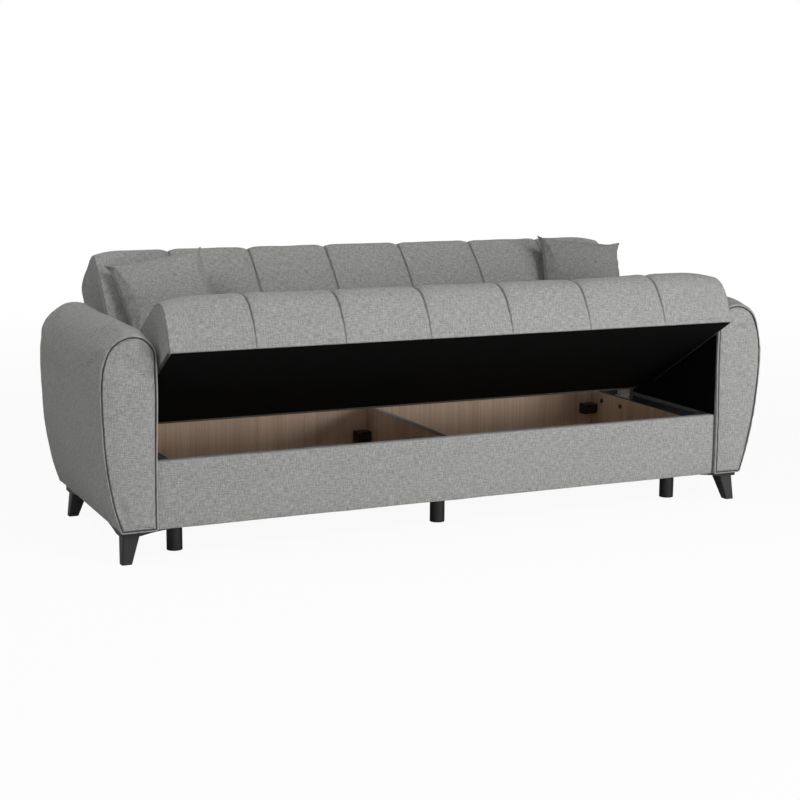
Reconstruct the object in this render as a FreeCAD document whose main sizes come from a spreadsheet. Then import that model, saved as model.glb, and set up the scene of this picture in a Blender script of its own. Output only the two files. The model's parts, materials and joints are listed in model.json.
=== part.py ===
import FreeCAD, Part
import math
import os
import re
import Sketcher

# Storage sofa with a lifting seat, a reclining back and two loose pillows.
# Millimetres, +Z up, +X along the sofa. -Y is the front. The floor is Z = 0.
# The origin lies on the floor, midway along the length and depth of the sofa as stored.
# It is stored with the seat raised and the back leaning, so that the storage box is open.
# Seat, back and pillow pieces are drawn about their own hinge line and then placed there.

Vector = FreeCAD.Vector

# Driving sizes: name, value in millimetres or degrees, meaning
SIZES = [
    ("arm_gap", 1900, "clear width between the two arms"),
    ("end_gap", 0.5, "gap between the box and each arm"),
    ("leg_height", 97, "floor to the underside of box and arms"),
    ("rail_front_y", -405, "front face of the front rail"),
    ("rail_height", 199, "height of the covered front rail"),
    ("rail_board_thickness", 18, "front rail board"),
    ("rail_padding", 6, "padding and cloth on the front of the rail"),
    ("rail_wrap", 2, "cloth turned over the rail's top and bottom"),
    ("rail_edge_radius", 5, "rounding of the rail's long edges"),
    ("box_back", 676, "rail front to the inner face of the back panel"),
    ("panel_drop", 13, "how far the box panels end below the rail's top"),
    ("ledge_width", 62, "flat ledge beside each arm"),
    ("ledge_thickness", 3, "dark ledge board"),
    ("side_thickness", 18, "box side panel"),
    ("beam_height", 60, "timber beam under the ledge"),
    ("divider_thickness", 18, "panel between the two compartments"),
    ("trim_thickness", 1.5, "edge trim on the divider"),
    ("back_panel_thickness", 16, "box back panel"),
    ("rear_cloth", 1.5, "cloth on the rear of the back panel"),
    ("batten_height", 20, "battens under the floor panel"),
    ("floor_thickness", 8, "box floor panel"),
    ("mid_leg_inset", 27, "box side to the middle of the outer middle legs"),
    ("batten_width", 54, "width of a floor batten"),
    ("mid_leg_front", 132, "rail front to the front middle legs"),
    ("mid_leg_rear", 116, "back panel to the rear middle legs"),
    ("mid_leg_radius", 23.5, "round middle leg"),
    ("leg_bolt_radius", 4, "hanger bolt of every leg"),
    ("leg_bolt_down", 22, "bolt length inside the leg"),
    ("leg_bolt_up", 14, "bolt length inside the wood"),
    ("block_size", 48, "corner block, both ways"),
    ("block_height", 36, "corner block height"),
    ("block_left_rise", 65, "box underside to the left compartment's blocks"),
    ("block_right_rise", 100, "box underside to the right compartment's blocks"),
    ("block_chamfer", 12, "bevel on a corner block"),
    ("arm_lead", 15, "arm front ahead of the rail front"),
    ("arm_rear_lead", 48, "arm rear behind the inner face of the back panel"),
    ("arm_bottom_width", 102, "arm width at its underside"),
    ("arm_widest", 166, "greatest arm width"),
    ("arm_shoulder", 181, "top of the arm down to its greatest width"),
    ("arm_side_radius", 386, "curve of the arm's side above its greatest width"),
    ("arm_top_offset", 62, "inner face to the arm's highest line"),
    ("arm_height", 564, "underside to top of the arm"),
    ("arm_padding", 14, "padding and cloth round the arm"),
    ("arm_wall", 16, "boards of the arm frame"),
    ("arm_front_pad", 12, "padded front of the arm"),
    ("arm_rear_pad", 5, "cloth and felt on the rear of the arm"),
    ("arm_edge_radius", 6, "rolled edge at the arm's front"),
    ("arm_pad_radius", 3, "soft edge of the arm's front pad"),
    ("piping_radius", 2.8, "cord round the arm's front"),
    ("liner_thickness", 1.5, "black liner on the inner side of the arm"),
    ("liner_drop", 39, "foot of the arm's inner shoulder down to the liner's top"),
    ("liner_gap", 0.5, "liner to arm and ledge"),
    ("foot_size", 31, "corner leg, square foot"),
    ("foot_top", 50, "corner leg, square top of the slanted part"),
    ("foot_splay", 7, "corner leg, its foot stands this much outside its top"),
    ("foot_plate", 16, "height of the corner leg's top plate"),
    ("foot_corner", 6, "rounded corners of the corner leg"),
    ("foot_wing", 80, "wing of the corner leg beyond its slanted part"),
    ("foot_wing_tip", 4, "height of the wing at its tip"),
    ("foot_wing_hollow", 1.5, "how far the wing's underside is hollowed"),
    ("foot_front_inset", 28, "arm front to the front face of the leg"),
    ("foot_rear_inset", 52, "arm rear to the rear face of the leg"),
    ("arm_bolt_radius", 4, "bolt that holds the arm to the box"),
    ("arm_bolt_head", 8, "head radius of that bolt"),
    ("arm_bolt_head_height", 3, "head height of that bolt"),
    ("arm_bolt_drop", 33, "box top down to the rear pair of arm bolts"),
    ("arm_bolt_rise", 68, "box underside up to the front arm bolt"),
    ("arm_bolt_rear", 77, "back panel to the rearmost arm bolt"),
    ("arm_bolt_pitch", 124, "rearmost to middle arm bolt"),
    ("arm_bolt_front", 130, "rail front to the front arm bolt"),
    ("bolt_clearance", 0.25, "radial room round a bolt"),
    ("pivot_back", 490, "rail front to the hinge line"),
    ("pivot_rise", 187, "ledge to the hinge line"),
    ("bracket_set", 14, "ledge's inner edge to the bracket's upright"),
    ("pin_radius", 5, "hinge pin"),
    ("pin_clearance", 0.05, "radial room round the hinge pin"),
    ("pin_head_radius", 9, "head of the hinge pin"),
    ("pin_head_height", 4, "head height of the hinge pin"),
    ("pin_tail", 3.5, "pin length past the innermost plate"),
    ("plate_thickness", 5, "steel plates of the hinge"),
    ("plate_gap", 4, "room between two plates"),
    ("washer_clearance", 0.2, "room on each side of a washer"),
    ("washer_radius", 9, "hinge washer"),
    ("boss_radius", 14, "rounded end of each hinge plate"),
    ("bracket_front", 65, "hinge line to the bracket's front flange"),
    ("bracket_rear", 30, "hinge line to the rear end of the bracket's foot"),
    ("bracket_foot", 4, "foot plate thickness"),
    ("bracket_foot_width", 10, "foot plate width beside the upright"),
    ("bracket_flange_height", 43, "height of the low front part"),
    ("bracket_neck_height", 66, "height where the upright narrows"),
    ("bracket_screw_radius", 2.5, "screw through the bracket's foot"),
    ("bracket_screw_head", 4.5, "head radius of that screw"),
    ("bracket_screw_head_height", 2.5, "head height of that screw"),
    ("bracket_screw_length", 30, "length of that screw under its head"),
    ("seat_end_gap", 12, "arm to seat, each end"),
    ("seat_depth", 592, "seat from rear plane to front plane"),
    ("seat_setback", 4, "hinge line to the seat's rear plane"),
    ("seat_rail_gap", 0.5, "front rail to the seat's underside, closed"),
    ("seat_crown", 31, "crown of the seat above the hinge line"),
    ("seat_crown_rear", 4, "top of the seat at its rear edge"),
    ("seat_crown_front", 27, "top of the seat where the front edge begins"),
    ("seat_front_radius", 78, "rounding of the seat's front top edge"),
    ("seat_rear_radius", 16, "rounding of the seat's rear top edge"),
    ("seat_front_bulge", 14, "how far the seat's front face is drawn in at its foot"),
    ("seat_front_bow", 1, "how far the seat's front face is drawn in at mid height"),
    ("end_channel", 257, "width of the seat's first and last channel"),
    ("seam_depth", 9, "how far a sewn seam draws the cushion in"),
    ("seam_shoulder", 32.7, "width of the rounded slope beside a seam"),
    ("end_inset", 5, "how far a cushion's end panel is drawn in"),
    ("seat_open_angle", 30.5, "seat raised from closed, as stored"),
    ("frame_wood", 24, "rails of the seat and back frames"),
    ("seat_frame_height", 70, "seat frame height"),
    ("seat_frame_rear", 26, "hinge line to the rear of the seat frame"),
    ("seat_frame_inset", 37, "seat's front plane to the front of its frame"),
    ("cover_thickness", 1, "dust cover and rear cover cloth"),
    ("frame_room", 1, "cushion to frame"),
    ("bay_room", 0.5, "spring block to frame"),
    ("seat_notch_room", 4, "seat plate to the seat cushion's corner notch"),
    ("back_notch_room", 8, "seat plate to the back cushion's corner notch"),
    ("notch_reach", 40, "hinge line to the end of a corner notch"),
    ("low_notch_room", 11, "bracket to the end of the seat's low notch"),
    ("low_notch_headroom", 16.5, "bracket to the top of the seat's low notch, closed"),
    ("seat_plate_end", 39, "last plate bolt to the end of the seat plate"),
    ("seat_plate_rise", 56, "height of the seat plate along the frame"),
    ("plate_bolt_radius", 4, "bolts of the hinge plates"),
    ("plate_bolt_head", 7, "head radius of those bolts"),
    ("plate_bolt_head_height", 2.5, "head height of those bolts"),
    ("plate_bolt_first", 95, "hinge line to the first plate bolt"),
    ("plate_bolt_pitch", 36, "distance between two plate bolts"),
    ("back_height", 457, "hinge line to the top of the back"),
    ("back_end_gap", 16, "arm to back, each end"),
    ("back_setback", 4, "hinge line to the back's lower plane"),
    ("back_depth", 172, "hinge line to the rear of the back, low down"),
    ("back_swell", 24, "how far the rear of the back swells near its top"),
    ("back_swell_start", 236, "height on the back where its rear swells"),
    ("back_crown", 44, "crown of the back's front face"),
    ("back_foot_crown", 2, "front face of the back ahead of the hinge line, at its foot"),
    ("back_head_crown", 29, "front face of the back ahead of the hinge line, at its top"),
    ("back_swell_bow", 2, "bow of the slope under the back's swollen head"),
    ("back_top_crown", 5, "crown of the back's top face"),
    ("back_top_radius", 40, "rounding of the back's top edges"),
    ("back_foot_radius", 14, "rounding of the back's lower front edge"),
    ("back_lean", 37, "back from upright, as stored"),
    ("back_frame_low", 26, "hinge line to the lower rail of the back frame"),
    ("back_frame_top", 52, "top of the back down to its frame"),
    ("back_frame_inset", 6, "rear of the back to the rear of its frame"),
    ("back_frame_depth", 70, "depth of the back frame"),
    ("back_plate_end", 37, "last plate bolt to the end of the back plate"),
    ("pillow_size", 330, "pillow, seam to seam at its corners"),
    ("pillow_draw", 13, "how far the pillow's sides draw in"),
    ("pillow_front", 62, "pillow bulge to the front"),
    ("pillow_rear", 42, "pillow bulge to the rear"),
    ("pillow_edge", 3, "half thickness of the pillow's end seams"),
    ("pillow_left_inset", 206.1, "arm to the left pillow's centre"),
    ("pillow_left_up", 210.5, "hinge line to the left pillow's centre"),
    ("pillow_left_stand", 8.3, "back's crown to the left pillow's rear bulge"),
    ("pillow_left_roll", 6.7, "left pillow turned in its own plane"),
    ("pillow_left_turn", -7.5, "left pillow's outer side turned to the front, here to the rear"),
    ("pillow_left_tilt", 0, "top of the left pillow tipped away from the back"),
    ("pillow_right_inset", 190.3, "arm to the right pillow's centre"),
    ("pillow_right_up", 215.2, "hinge line to the right pillow's centre"),
    ("pillow_right_stand", 7.3, "back's crown to the right pillow's rear bulge"),
    ("pillow_right_roll", 9.4, "right pillow turned in its own plane"),
    ("pillow_right_turn", 3.8, "right pillow's outer side turned to the front"),
    ("pillow_right_tilt", 8, "top of the right pillow tipped away from the back"),
]

NAMES = {name for name, _, _ in SIZES}
SIDES = (("left", -1), ("right", 1))
# Channels sewn across the seat and the back
CHANNELS = 7
# A seam is shallower where the cushion turns in to the hinge
SEAM_FADE = 1 / 3
# Places across a pillow, from seam to seam, closer together near the seams
PILLOW_STATIONS = (-1.0, -0.93, -0.75, -0.42, 0.0, 0.42, 0.75, 0.93, 1.0)
# How far a cutting solid runs past what it cuts, and how close two edges count as one
OVERRUN = 10
CLOSE = 0.05
# Size of the rough polygon that each sketch starts from
ROUGH_RADIUS = 100

doc = FreeCAD.newDocument("storage_sofa")
sheet = doc.addObject("Spreadsheet::Sheet", "sizes")
for row, (name, number, meaning) in enumerate(SIZES, start=1):
    sheet.set(f"A{row}", meaning)
    sheet.set(f"B{row}", str(number))
    sheet.setAlias(f"B{row}", name)
doc.recompute()

pieces = {}


class Sizes:
    """Reads a driving size from the sheet by its name."""

    def __getattr__(self, name):
        return float(sheet.get(name))


size = Sizes()


def worth(formula):
    """Number that a formula of sheet names comes to, worked out in a free cell of the sheet."""
    sheet.set("D1", f"={formula}")
    sheet.recompute()
    return float(sheet.get("D1"))


def bind(item, target, formula):
    """Tie one property of an object to a formula of sheet names."""

    def cell(found):
        word = found.group()
        return f"sizes.{word}" if word in NAMES else word

    item.setExpression(target, re.sub(r"[a-z][a-z0-9_]*", cell, formula))


def place(item, corner):
    """Tie an object's position to three formulas."""
    for axis, formula in zip("xyz", corner):
        bind(item, f"Placement.Base.{axis}", formula)


def finish(item, name):
    """Give an object its file name and keep it as a piece of the sofa."""
    item.Label = name
    pieces[name] = item
    return item


def block(label, corner, lengths):
    """A bound box that is not yet a piece of its own."""
    box = doc.addObject("Part::Box", label)
    for target, formula in zip(("Length", "Width", "Height"), lengths):
        bind(box, target, formula)
    place(box, corner)
    return box


def board(name, corner, lengths):
    """A plain board, as one piece."""
    return finish(block(name, corner, lengths), name)


def rod(label, radius, length, start, along):
    """A bound cylinder that starts at a point and runs along +X, -X or +Z."""
    turns = {
        "+x": FreeCAD.Rotation(Vector(0, 1, 0), 90),
        "-x": FreeCAD.Rotation(Vector(0, 1, 0), -90),
        "+z": FreeCAD.Rotation(),
    }
    cylinder = doc.addObject("Part::Cylinder", label)
    cylinder.Placement = FreeCAD.Placement(Vector(), turns[along])
    bind(cylinder, "Radius", radius)
    bind(cylinder, "Height", length)
    place(cylinder, start)
    return cylinder


def cut(label, base, tools):
    """Base minus all tools."""
    result = doc.addObject("Part::Cut", label)
    result.Base = base
    if len(tools) == 1:
        result.Tool = tools[0]
    else:
        joined = doc.addObject("Part::MultiFuse", f"{label}_tools")
        joined.Shapes = tools
        result.Tool = joined
    return result


def join(label, parts):
    """Several touching solids as one."""
    result = doc.addObject("Part::MultiFuse", label)
    result.Shapes = parts
    result.Refine = True
    return result


def group(label, parts):
    """Several separate solids in one node."""
    result = doc.addObject("Part::Compound", label)
    result.Links = parts
    return result


def beside(sign, near, width):
    """X of the low corner of a board that starts at a distance from the centre."""
    return f"{near}" if sign > 0 else f"-({near} + {width})"


def outward(sign):
    """Direction word that points away from the sofa's middle."""
    return "+x" if sign > 0 else "-x"


def signed(sign, formula):
    """Mirror a formula to the left side."""
    return formula if sign > 0 else f"-({formula})"


# Shared levels and planes, written once as formulas
RAIL_BACK = "rail_front_y + rail_padding + rail_board_thickness"
BOX_TOP = "leg_height + rail_height - panel_drop"
BOX_LENGTH = "box_back - rail_padding - rail_board_thickness"
BOX_END = "rail_front_y + box_back"
HALF_BOX = "arm_gap / 2 - end_gap"
HALF_INSIDE = "arm_gap / 2 - ledge_width"
FLOOR_TOP = "leg_height + batten_height + floor_thickness"
HINGE_Y = "rail_front_y + pivot_back"
PLATE_STEP = "plate_thickness + plate_gap"
LINER_LOW = "leg_height + rail_height + liner_gap"
HINGE_Z = f"{BOX_TOP} + pivot_rise"
SEAT_DROP = "(pivot_rise - panel_drop - seat_rail_gap)"
SEAT_FRAME_LOW = f"-{SEAT_DROP} + cover_thickness"
SEAT_FRAME_FRONT = "(seat_setback + seat_depth - seat_frame_inset)"
BACK_FRAME_FRONT = "(back_depth - back_frame_inset - back_frame_depth)"
BACK_FRAME_HIGH = "(back_height - back_frame_top)"
BRACKET_X = f"({HALF_INSIDE} + bracket_set)"
BACK_PLATE_X = f"({BRACKET_X} - ({PLATE_STEP}))"
SEAT_PLATE_X = f"({BRACKET_X} - 2 * ({PLATE_STEP}))"
SEAT_PLATE_FRONT = "(plate_bolt_first + 2 * plate_bolt_pitch + seat_plate_end)"
BACK_PLATE_HIGH = "(plate_bolt_first + 2 * plate_bolt_pitch - frame_wood + back_plate_end)"
LINER_TOP = "leg_height + arm_height - arm_top_offset - liner_drop"
SCREW_X = f"{BRACKET_X} - bracket_foot_width / 2"
SCREW_Y = (
    f"{HINGE_Y} - bracket_front + 3 * bracket_screw_head",
    f"{HINGE_Y} + bracket_rear - 2 * bracket_screw_head",
)
ARM_BOLTS = (
    (f"{BOX_END} - arm_bolt_rear", f"{BOX_TOP} - arm_bolt_drop"),
    (f"{BOX_END} - arm_bolt_rear - arm_bolt_pitch", f"{BOX_TOP} - arm_bolt_drop"),
    ("rail_front_y + arm_bolt_front", "leg_height + arm_bolt_rise"),
)


def origin_plane(body, role):
    """One of a body's own origin planes."""
    return next(item for item in body.Origin.OriginFeatures if item.Role == role)


def rough_corner(index, count):
    """Corner of the rough polygon that a sketch starts from, before its bound corners move."""
    angle = 2 * math.pi * index / count
    return Vector(ROUGH_RADIUS * math.cos(angle), ROUGH_RADIUS * math.sin(angle), 0)


def outline(body, label, plane, offset, points):
    """A closed polygon sketch whose corners are tied to formulas."""
    sketch = body.newObject("Sketcher::SketchObject", label)
    sketch.AttachmentSupport = [(origin_plane(body, plane), "")]
    sketch.MapMode = "FlatFace"
    bind(sketch, "AttachmentOffset.Base.z", offset)
    count = len(points)
    for index in range(count):
        stop = rough_corner(index + 1, count)
        sketch.addGeometry(Part.LineSegment(rough_corner(index, count), stop))
    for index in range(count):
        sketch.addConstraint(Sketcher.Constraint("Coincident", index, 2, (index + 1) % count, 1))
    for index, corner in enumerate(points):
        for kind, formula in zip(("DistanceX", "DistanceY"), corner):
            number = sketch.addConstraint(Sketcher.Constraint(kind, -1, 1, index, 1, 1.0))
            bind(sketch, f"Constraints[{number}]", formula)
    return sketch


def circle(body, label, plane, offset, centre, radius):
    """A circle sketch tied to formulas."""
    sketch = body.newObject("Sketcher::SketchObject", label)
    sketch.AttachmentSupport = [(origin_plane(body, plane), "")]
    sketch.MapMode = "FlatFace"
    bind(sketch, "AttachmentOffset.Base.z", offset)
    sketch.addGeometry(Part.Circle(Vector(0, 0, 0), Vector(0, 0, 1), 10))
    number = sketch.addConstraint(Sketcher.Constraint("Radius", 0, 10.0))
    bind(sketch, f"Constraints[{number}]", radius)
    for kind, formula in zip(("DistanceX", "DistanceY"), centre):
        number = sketch.addConstraint(Sketcher.Constraint(kind, -1, 1, 0, 3, 1.0))
        bind(sketch, f"Constraints[{number}]", formula)
    return sketch


def pad(body, label, sketch, length):
    """Pad a sketch by a bound length."""
    feature = body.newObject("PartDesign::Pad", label)
    feature.Profile = sketch
    bind(feature, "Length", length)
    return feature


def through(body, label, sketch):
    """Cut a sketch through everything, both ways."""
    feature = body.newObject("PartDesign::Pocket", label)
    feature.Profile = sketch
    feature.Type = "ThroughAll"
    feature.Midplane = True
    return feature


def edges_along(shape, direction, keep):
    """Names of straight edges along a direction whose middle passes a test."""
    found = []
    for index, edge in enumerate(shape.Edges, start=1):
        straight = isinstance(edge.Curve, Part.Line)
        if straight and abs(edge.Curve.Direction.dot(direction)) > 0.999:
            if keep(edge.CenterOfMass):
                found.append(f"Edge{index}")
    return found


def solid_piece(name, shape, placement=None):
    """A piece whose shape is worked out with Part's own functions."""
    item = doc.addObject("Part::Feature", name)
    item.Shape = shape
    if placement is not None:
        item.Placement = placement
    return finish(item, name)


def hinge_placement(angle):
    """Placement of pieces drawn about the hinge line, turned about it."""
    base = Vector(0, worth(HINGE_Y), worth(HINGE_Z))
    return FreeCAD.Placement(base, FreeCAD.Rotation(Vector(1, 0, 0), angle))


def bind_to_hinge(item, angle):
    """Tie an object's placement to the hinge line and a bound angle."""
    # The quarter turn only sets the axis, which the bound angle then keeps
    item.Placement = FreeCAD.Placement(Vector(), FreeCAD.Rotation(Vector(1, 0, 0), 90))
    place(item, ("0", HINGE_Y, HINGE_Z))
    bind(item, "Placement.Rotation.Angle", angle)


# Front rail: a board in a padded cloth cover that is turned over its long edges
def make_front_rail():
    board(
        "front_rail_board",
        (f"-({HALF_BOX})", "rail_front_y + rail_padding", "leg_height + rail_wrap"),
        (f"2 * ({HALF_BOX})", "rail_board_thickness", "rail_height - 2 * rail_wrap"),
    )
    front = "rail_front_y"
    inner = "rail_front_y + rail_padding"
    top = "leg_height + rail_height"
    body = doc.addObject("PartDesign::Body", "front_rail_cover")
    profile = outline(
        body,
        "rail_cover_outline",
        "YZ_Plane",
        f"-({HALF_BOX})",
        [
            (front, "leg_height"),
            (RAIL_BACK, "leg_height"),
            (RAIL_BACK, "leg_height + rail_wrap"),
            (inner, "leg_height + rail_wrap"),
            (inner, f"{top} - rail_wrap"),
            (RAIL_BACK, f"{top} - rail_wrap"),
            (RAIL_BACK, top),
            (front, top),
        ],
    )
    cover = pad(body, "rail_cover_pad", profile, f"2 * ({HALF_BOX})")
    doc.recompute()
    fillet = body.newObject("PartDesign::Fillet", "rail_cover_rounding")
    edges = edges_along(cover.Shape, Vector(1, 0, 0), lambda c: c.y < size.rail_front_y + CLOSE)
    fillet.Base = (cover, edges)
    bind(fillet, "Radius", "rail_edge_radius")
    finish(body, "front_rail_cover")


# Storage box: sides, ledges, divider, floor on battens, back panel
def make_box():
    for side, sign in SIDES:
        drills = [
            rod(
                f"side_drill_{side}_{index}",
                "arm_bolt_radius + bolt_clearance",
                "ledge_width",
                (signed(sign, HALF_INSIDE), along, height),
                outward(sign),
            )
            for index, (along, height) in enumerate(ARM_BOLTS)
        ]
        screw_holes = [
            rod(
                f"ledge_drill_{side}_{index}",
                "bracket_screw_radius",
                "bracket_screw_length",
                (signed(sign, SCREW_X), along, f"{BOX_TOP} + bracket_foot - bracket_screw_length"),
                "+z",
            )
            for index, along in enumerate(SCREW_Y)
        ]
        panel = block(
            f"side_blank_{side}",
            (beside(sign, f"({HALF_INSIDE})", "side_thickness"), RAIL_BACK, "leg_height"),
            ("side_thickness", BOX_LENGTH, "rail_height - panel_drop - ledge_thickness"),
        )
        finish(cut(f"box_side_{side}", panel, drills + screw_holes), f"box_side_{side}")
        beam_near = f"({HALF_INSIDE} + side_thickness)"
        beam_width = "ledge_width - side_thickness - end_gap"
        beam = block(
            f"beam_blank_{side}",
            (
                beside(sign, beam_near, beam_width),
                RAIL_BACK,
                f"{BOX_TOP} - ledge_thickness - beam_height",
            ),
            (beam_width, BOX_LENGTH, "beam_height"),
        )
        ledge = block(
            f"ledge_blank_{side}",
            (
                beside(sign, f"({HALF_INSIDE})", "ledge_width - end_gap"),
                RAIL_BACK,
                f"{BOX_TOP} - ledge_thickness",
            ),
            ("ledge_width - end_gap", BOX_LENGTH, "ledge_thickness"),
        )
        finish(cut(f"side_beam_{side}", beam, drills), f"side_beam_{side}")
        finish(cut(f"ledge_{side}", ledge, screw_holes), f"ledge_{side}")

    board(
        "box_floor",
        (f"-({HALF_INSIDE})", RAIL_BACK, "leg_height + batten_height"),
        (f"2 * ({HALF_INSIDE})", BOX_LENGTH, "floor_thickness"),
    )
    divider_height = f"{BOX_TOP} - trim_thickness - ({FLOOR_TOP})"
    board(
        "box_divider",
        ("-divider_thickness / 2", RAIL_BACK, FLOOR_TOP),
        ("divider_thickness", BOX_LENGTH, divider_height),
    )
    board(
        "divider_trim",
        ("-divider_thickness / 2", RAIL_BACK, f"{BOX_TOP} - trim_thickness"),
        ("divider_thickness", BOX_LENGTH, "trim_thickness"),
    )
    board(
        "box_back_panel",
        (f"-({HALF_BOX})", BOX_END, "leg_height"),
        (f"2 * ({HALF_BOX})", "back_panel_thickness", "rail_height - panel_drop"),
    )
    board(
        "rear_cloth_panel",
        (f"-({HALF_BOX})", f"{BOX_END} + back_panel_thickness", "leg_height"),
        (f"2 * ({HALF_BOX})", "rear_cloth", "rail_height - panel_drop"),
    )


# Battens under the floor carry the round middle legs
def make_battens_and_middle_legs():
    battens = []
    legs = {"front": [], "rear": []}
    bolts = []
    outer = f"({HALF_INSIDE} - mid_leg_inset)"
    rows = (
        ("front", "rail_front_y + mid_leg_front"),
        ("rear", f"{BOX_END} - mid_leg_rear"),
    )
    for index, reach in enumerate((f"-{outer}", "0", outer)):
        batten = block(
            f"batten_blank_{index}",
            (f"{reach} - batten_width / 2", RAIL_BACK, "leg_height"),
            ("batten_width", BOX_LENGTH, "batten_height"),
        )
        holes = []
        for row, along in rows:
            spot = (reach, along)
            low = "leg_height - leg_bolt_down"
            length = "leg_bolt_down + leg_bolt_up"
            hole = rod(f"leg_hole_{row}_{index}", "leg_bolt_radius", length, (*spot, low), "+z")
            bolt = rod(f"leg_bolt_{row}_{index}", "leg_bolt_radius", length, (*spot, low), "+z")
            post = rod(
                f"leg_post_{row}_{index}", "mid_leg_radius", "leg_height", (*spot, "0"), "+z"
            )
            legs[row].append(cut(f"leg_{row}_{index}", post, [hole]))
            holes.append(hole)
            bolts.append(bolt)
        battens.append(cut(f"batten_{index}", batten, holes))
    finish(group("floor_battens", battens), "floor_battens")
    finish(group("mid_legs_front", legs["front"]), "mid_legs_front")
    finish(group("mid_legs_rear", legs["rear"]), "mid_legs_rear")
    finish(group("mid_leg_bolts", bolts), "mid_leg_bolts")


# Plastic blocks join the rear corners of each compartment
def make_corner_blocks():
    half_divider = "divider_thickness / 2"
    spots = (
        ("outer_left", f"-({HALF_INSIDE})", "leg_height + block_left_rise"),
        ("inner_left", f"-({half_divider}) - block_size", "leg_height + block_left_rise"),
        ("inner_right", half_divider, "leg_height + block_right_rise"),
        ("outer_right", f"{HALF_INSIDE} - block_size", "leg_height + block_right_rise"),
    )
    blocks = []
    for label, low_x, low_z in spots:
        base = block(
            f"block_blank_{label}",
            (low_x, f"{BOX_END} - block_size", low_z),
            ("block_size", "block_size", "block_height"),
        )
        doc.recompute()
        bevel = doc.addObject("Part::Chamfer", f"block_{label}")
        bevel.Base = base
        front = base.Shape.BoundBox.YMin
        low = base.Shape.BoundBox.ZMin
        bevel.Edges = [
            (index, size.block_chamfer, size.block_chamfer)
            for index, edge in enumerate(base.Shape.Edges, start=1)
            if edge.BoundBox.YMax < front + CLOSE and edge.BoundBox.ZMax < low + CLOSE
        ]
        blocks.append(bevel)
    finish(group("corner_blocks", blocks), "corner_blocks")


def on_circle(centre, radius, degrees):
    """A point of an arm arc, from its centre, radius and direction."""
    angle = math.radians(degrees)
    return centre + Vector(radius * math.cos(angle), 0, radius * math.sin(angle))


def arm_front():
    """Front plane of the arms."""
    return size.rail_front_y - size.arm_lead


def arm_depth():
    """Arm front to arm rear."""
    return size.arm_lead + size.box_back + size.arm_rear_lead


def arm_outline():
    """Arm outline seen from the front: distance outwards from the inner face, and height."""
    bottom = size.leg_height
    top = bottom + size.arm_height
    widest_z = top - size.arm_shoulder
    rise = widest_z - bottom
    spread = size.arm_widest - size.arm_bottom_width
    # The lower side is an arc that stands upright at the greatest width
    low_radius = (spread**2 + rise**2) / (2 * spread)
    low_centre = Vector(size.arm_widest - low_radius, 0, widest_z)
    low_angle = -math.degrees(math.asin(rise / low_radius))
    # Then a side arc, and a crown arc that meets it smoothly and is level at the top
    side_radius = size.arm_side_radius
    side_centre = Vector(size.arm_widest - side_radius, 0, widest_z)
    across = size.arm_top_offset - side_centre.x
    above = size.arm_shoulder
    crown_radius = (side_radius**2 - across**2 - above**2) / (2 * (side_radius - above))
    crown_centre = Vector(size.arm_top_offset, 0, top - crown_radius)
    meeting = math.degrees(math.atan2(above - crown_radius, across))
    # The inner shoulder is a quarter circle down to the inner face
    inner_radius = size.arm_top_offset
    inner_centre = Vector(inner_radius, 0, top - inner_radius)
    inner_low = Vector(0, 0, bottom)
    outer_low = Vector(size.arm_bottom_width, 0, bottom)

    def arc(centre, radius, start, stop):
        ends = [on_circle(centre, radius, a) for a in (start, (start + stop) / 2, stop)]
        return Part.Arc(*ends).toShape()

    return Part.Wire(
        [
            Part.LineSegment(inner_low, outer_low).toShape(),
            arc(low_centre, low_radius, low_angle, 0),
            arc(side_centre, side_radius, 0, meeting),
            arc(crown_centre, crown_radius, meeting, 90),
            arc(inner_centre, inner_radius, 90, 180),
            Part.LineSegment(on_circle(inner_centre, inner_radius, 180), inner_low).toShape(),
        ]
    )


def arm_slice(inset, start, length):
    """The arm's outline, drawn in by an inset, from one depth to another."""
    wire = arm_outline()
    if inset:
        wire = wire.makeOffset2D(-inset)
    face = Part.Face(wire)
    face.translate(Vector(0, start, 0))
    return face.extrude(Vector(0, length, 0))


def to_side(shape, sign):
    """Move an arm shape to its side of the sofa."""
    moved = shape.copy()
    if sign < 0:
        moved = moved.mirror(Vector(0, 0, 0), Vector(1, 0, 0))
    moved.translate(Vector(sign * size.arm_gap / 2, 0, 0))
    return moved


def bolt_channels(reach):
    """Bolt holes into an arm, from its inner face."""
    radius = size.arm_bolt_radius + size.bolt_clearance
    return [
        Part.makeCylinder(radius, reach, Vector(0, worth(along), worth(height)), Vector(1, 0, 0))
        for along, height in ARM_BOLTS
    ]


def foot_corners():
    """Outer corner of each corner leg, with the way its foot runs from there."""
    front = arm_front() + size.foot_front_inset
    rear = arm_front() + arm_depth() - size.foot_rear_inset
    return (("front", front, 1), ("rear", rear, -1))


def foot_bolt(sign_y, corner_y, low, high):
    """One leg bolt of an arm, on the arm's own side axes."""
    inset = size.foot_splay + size.foot_top / 2
    start = Vector(size.arm_bottom_width - inset, corner_y + sign_y * inset, low)
    return Part.makeCylinder(size.leg_bolt_radius, high - low, start)


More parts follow.
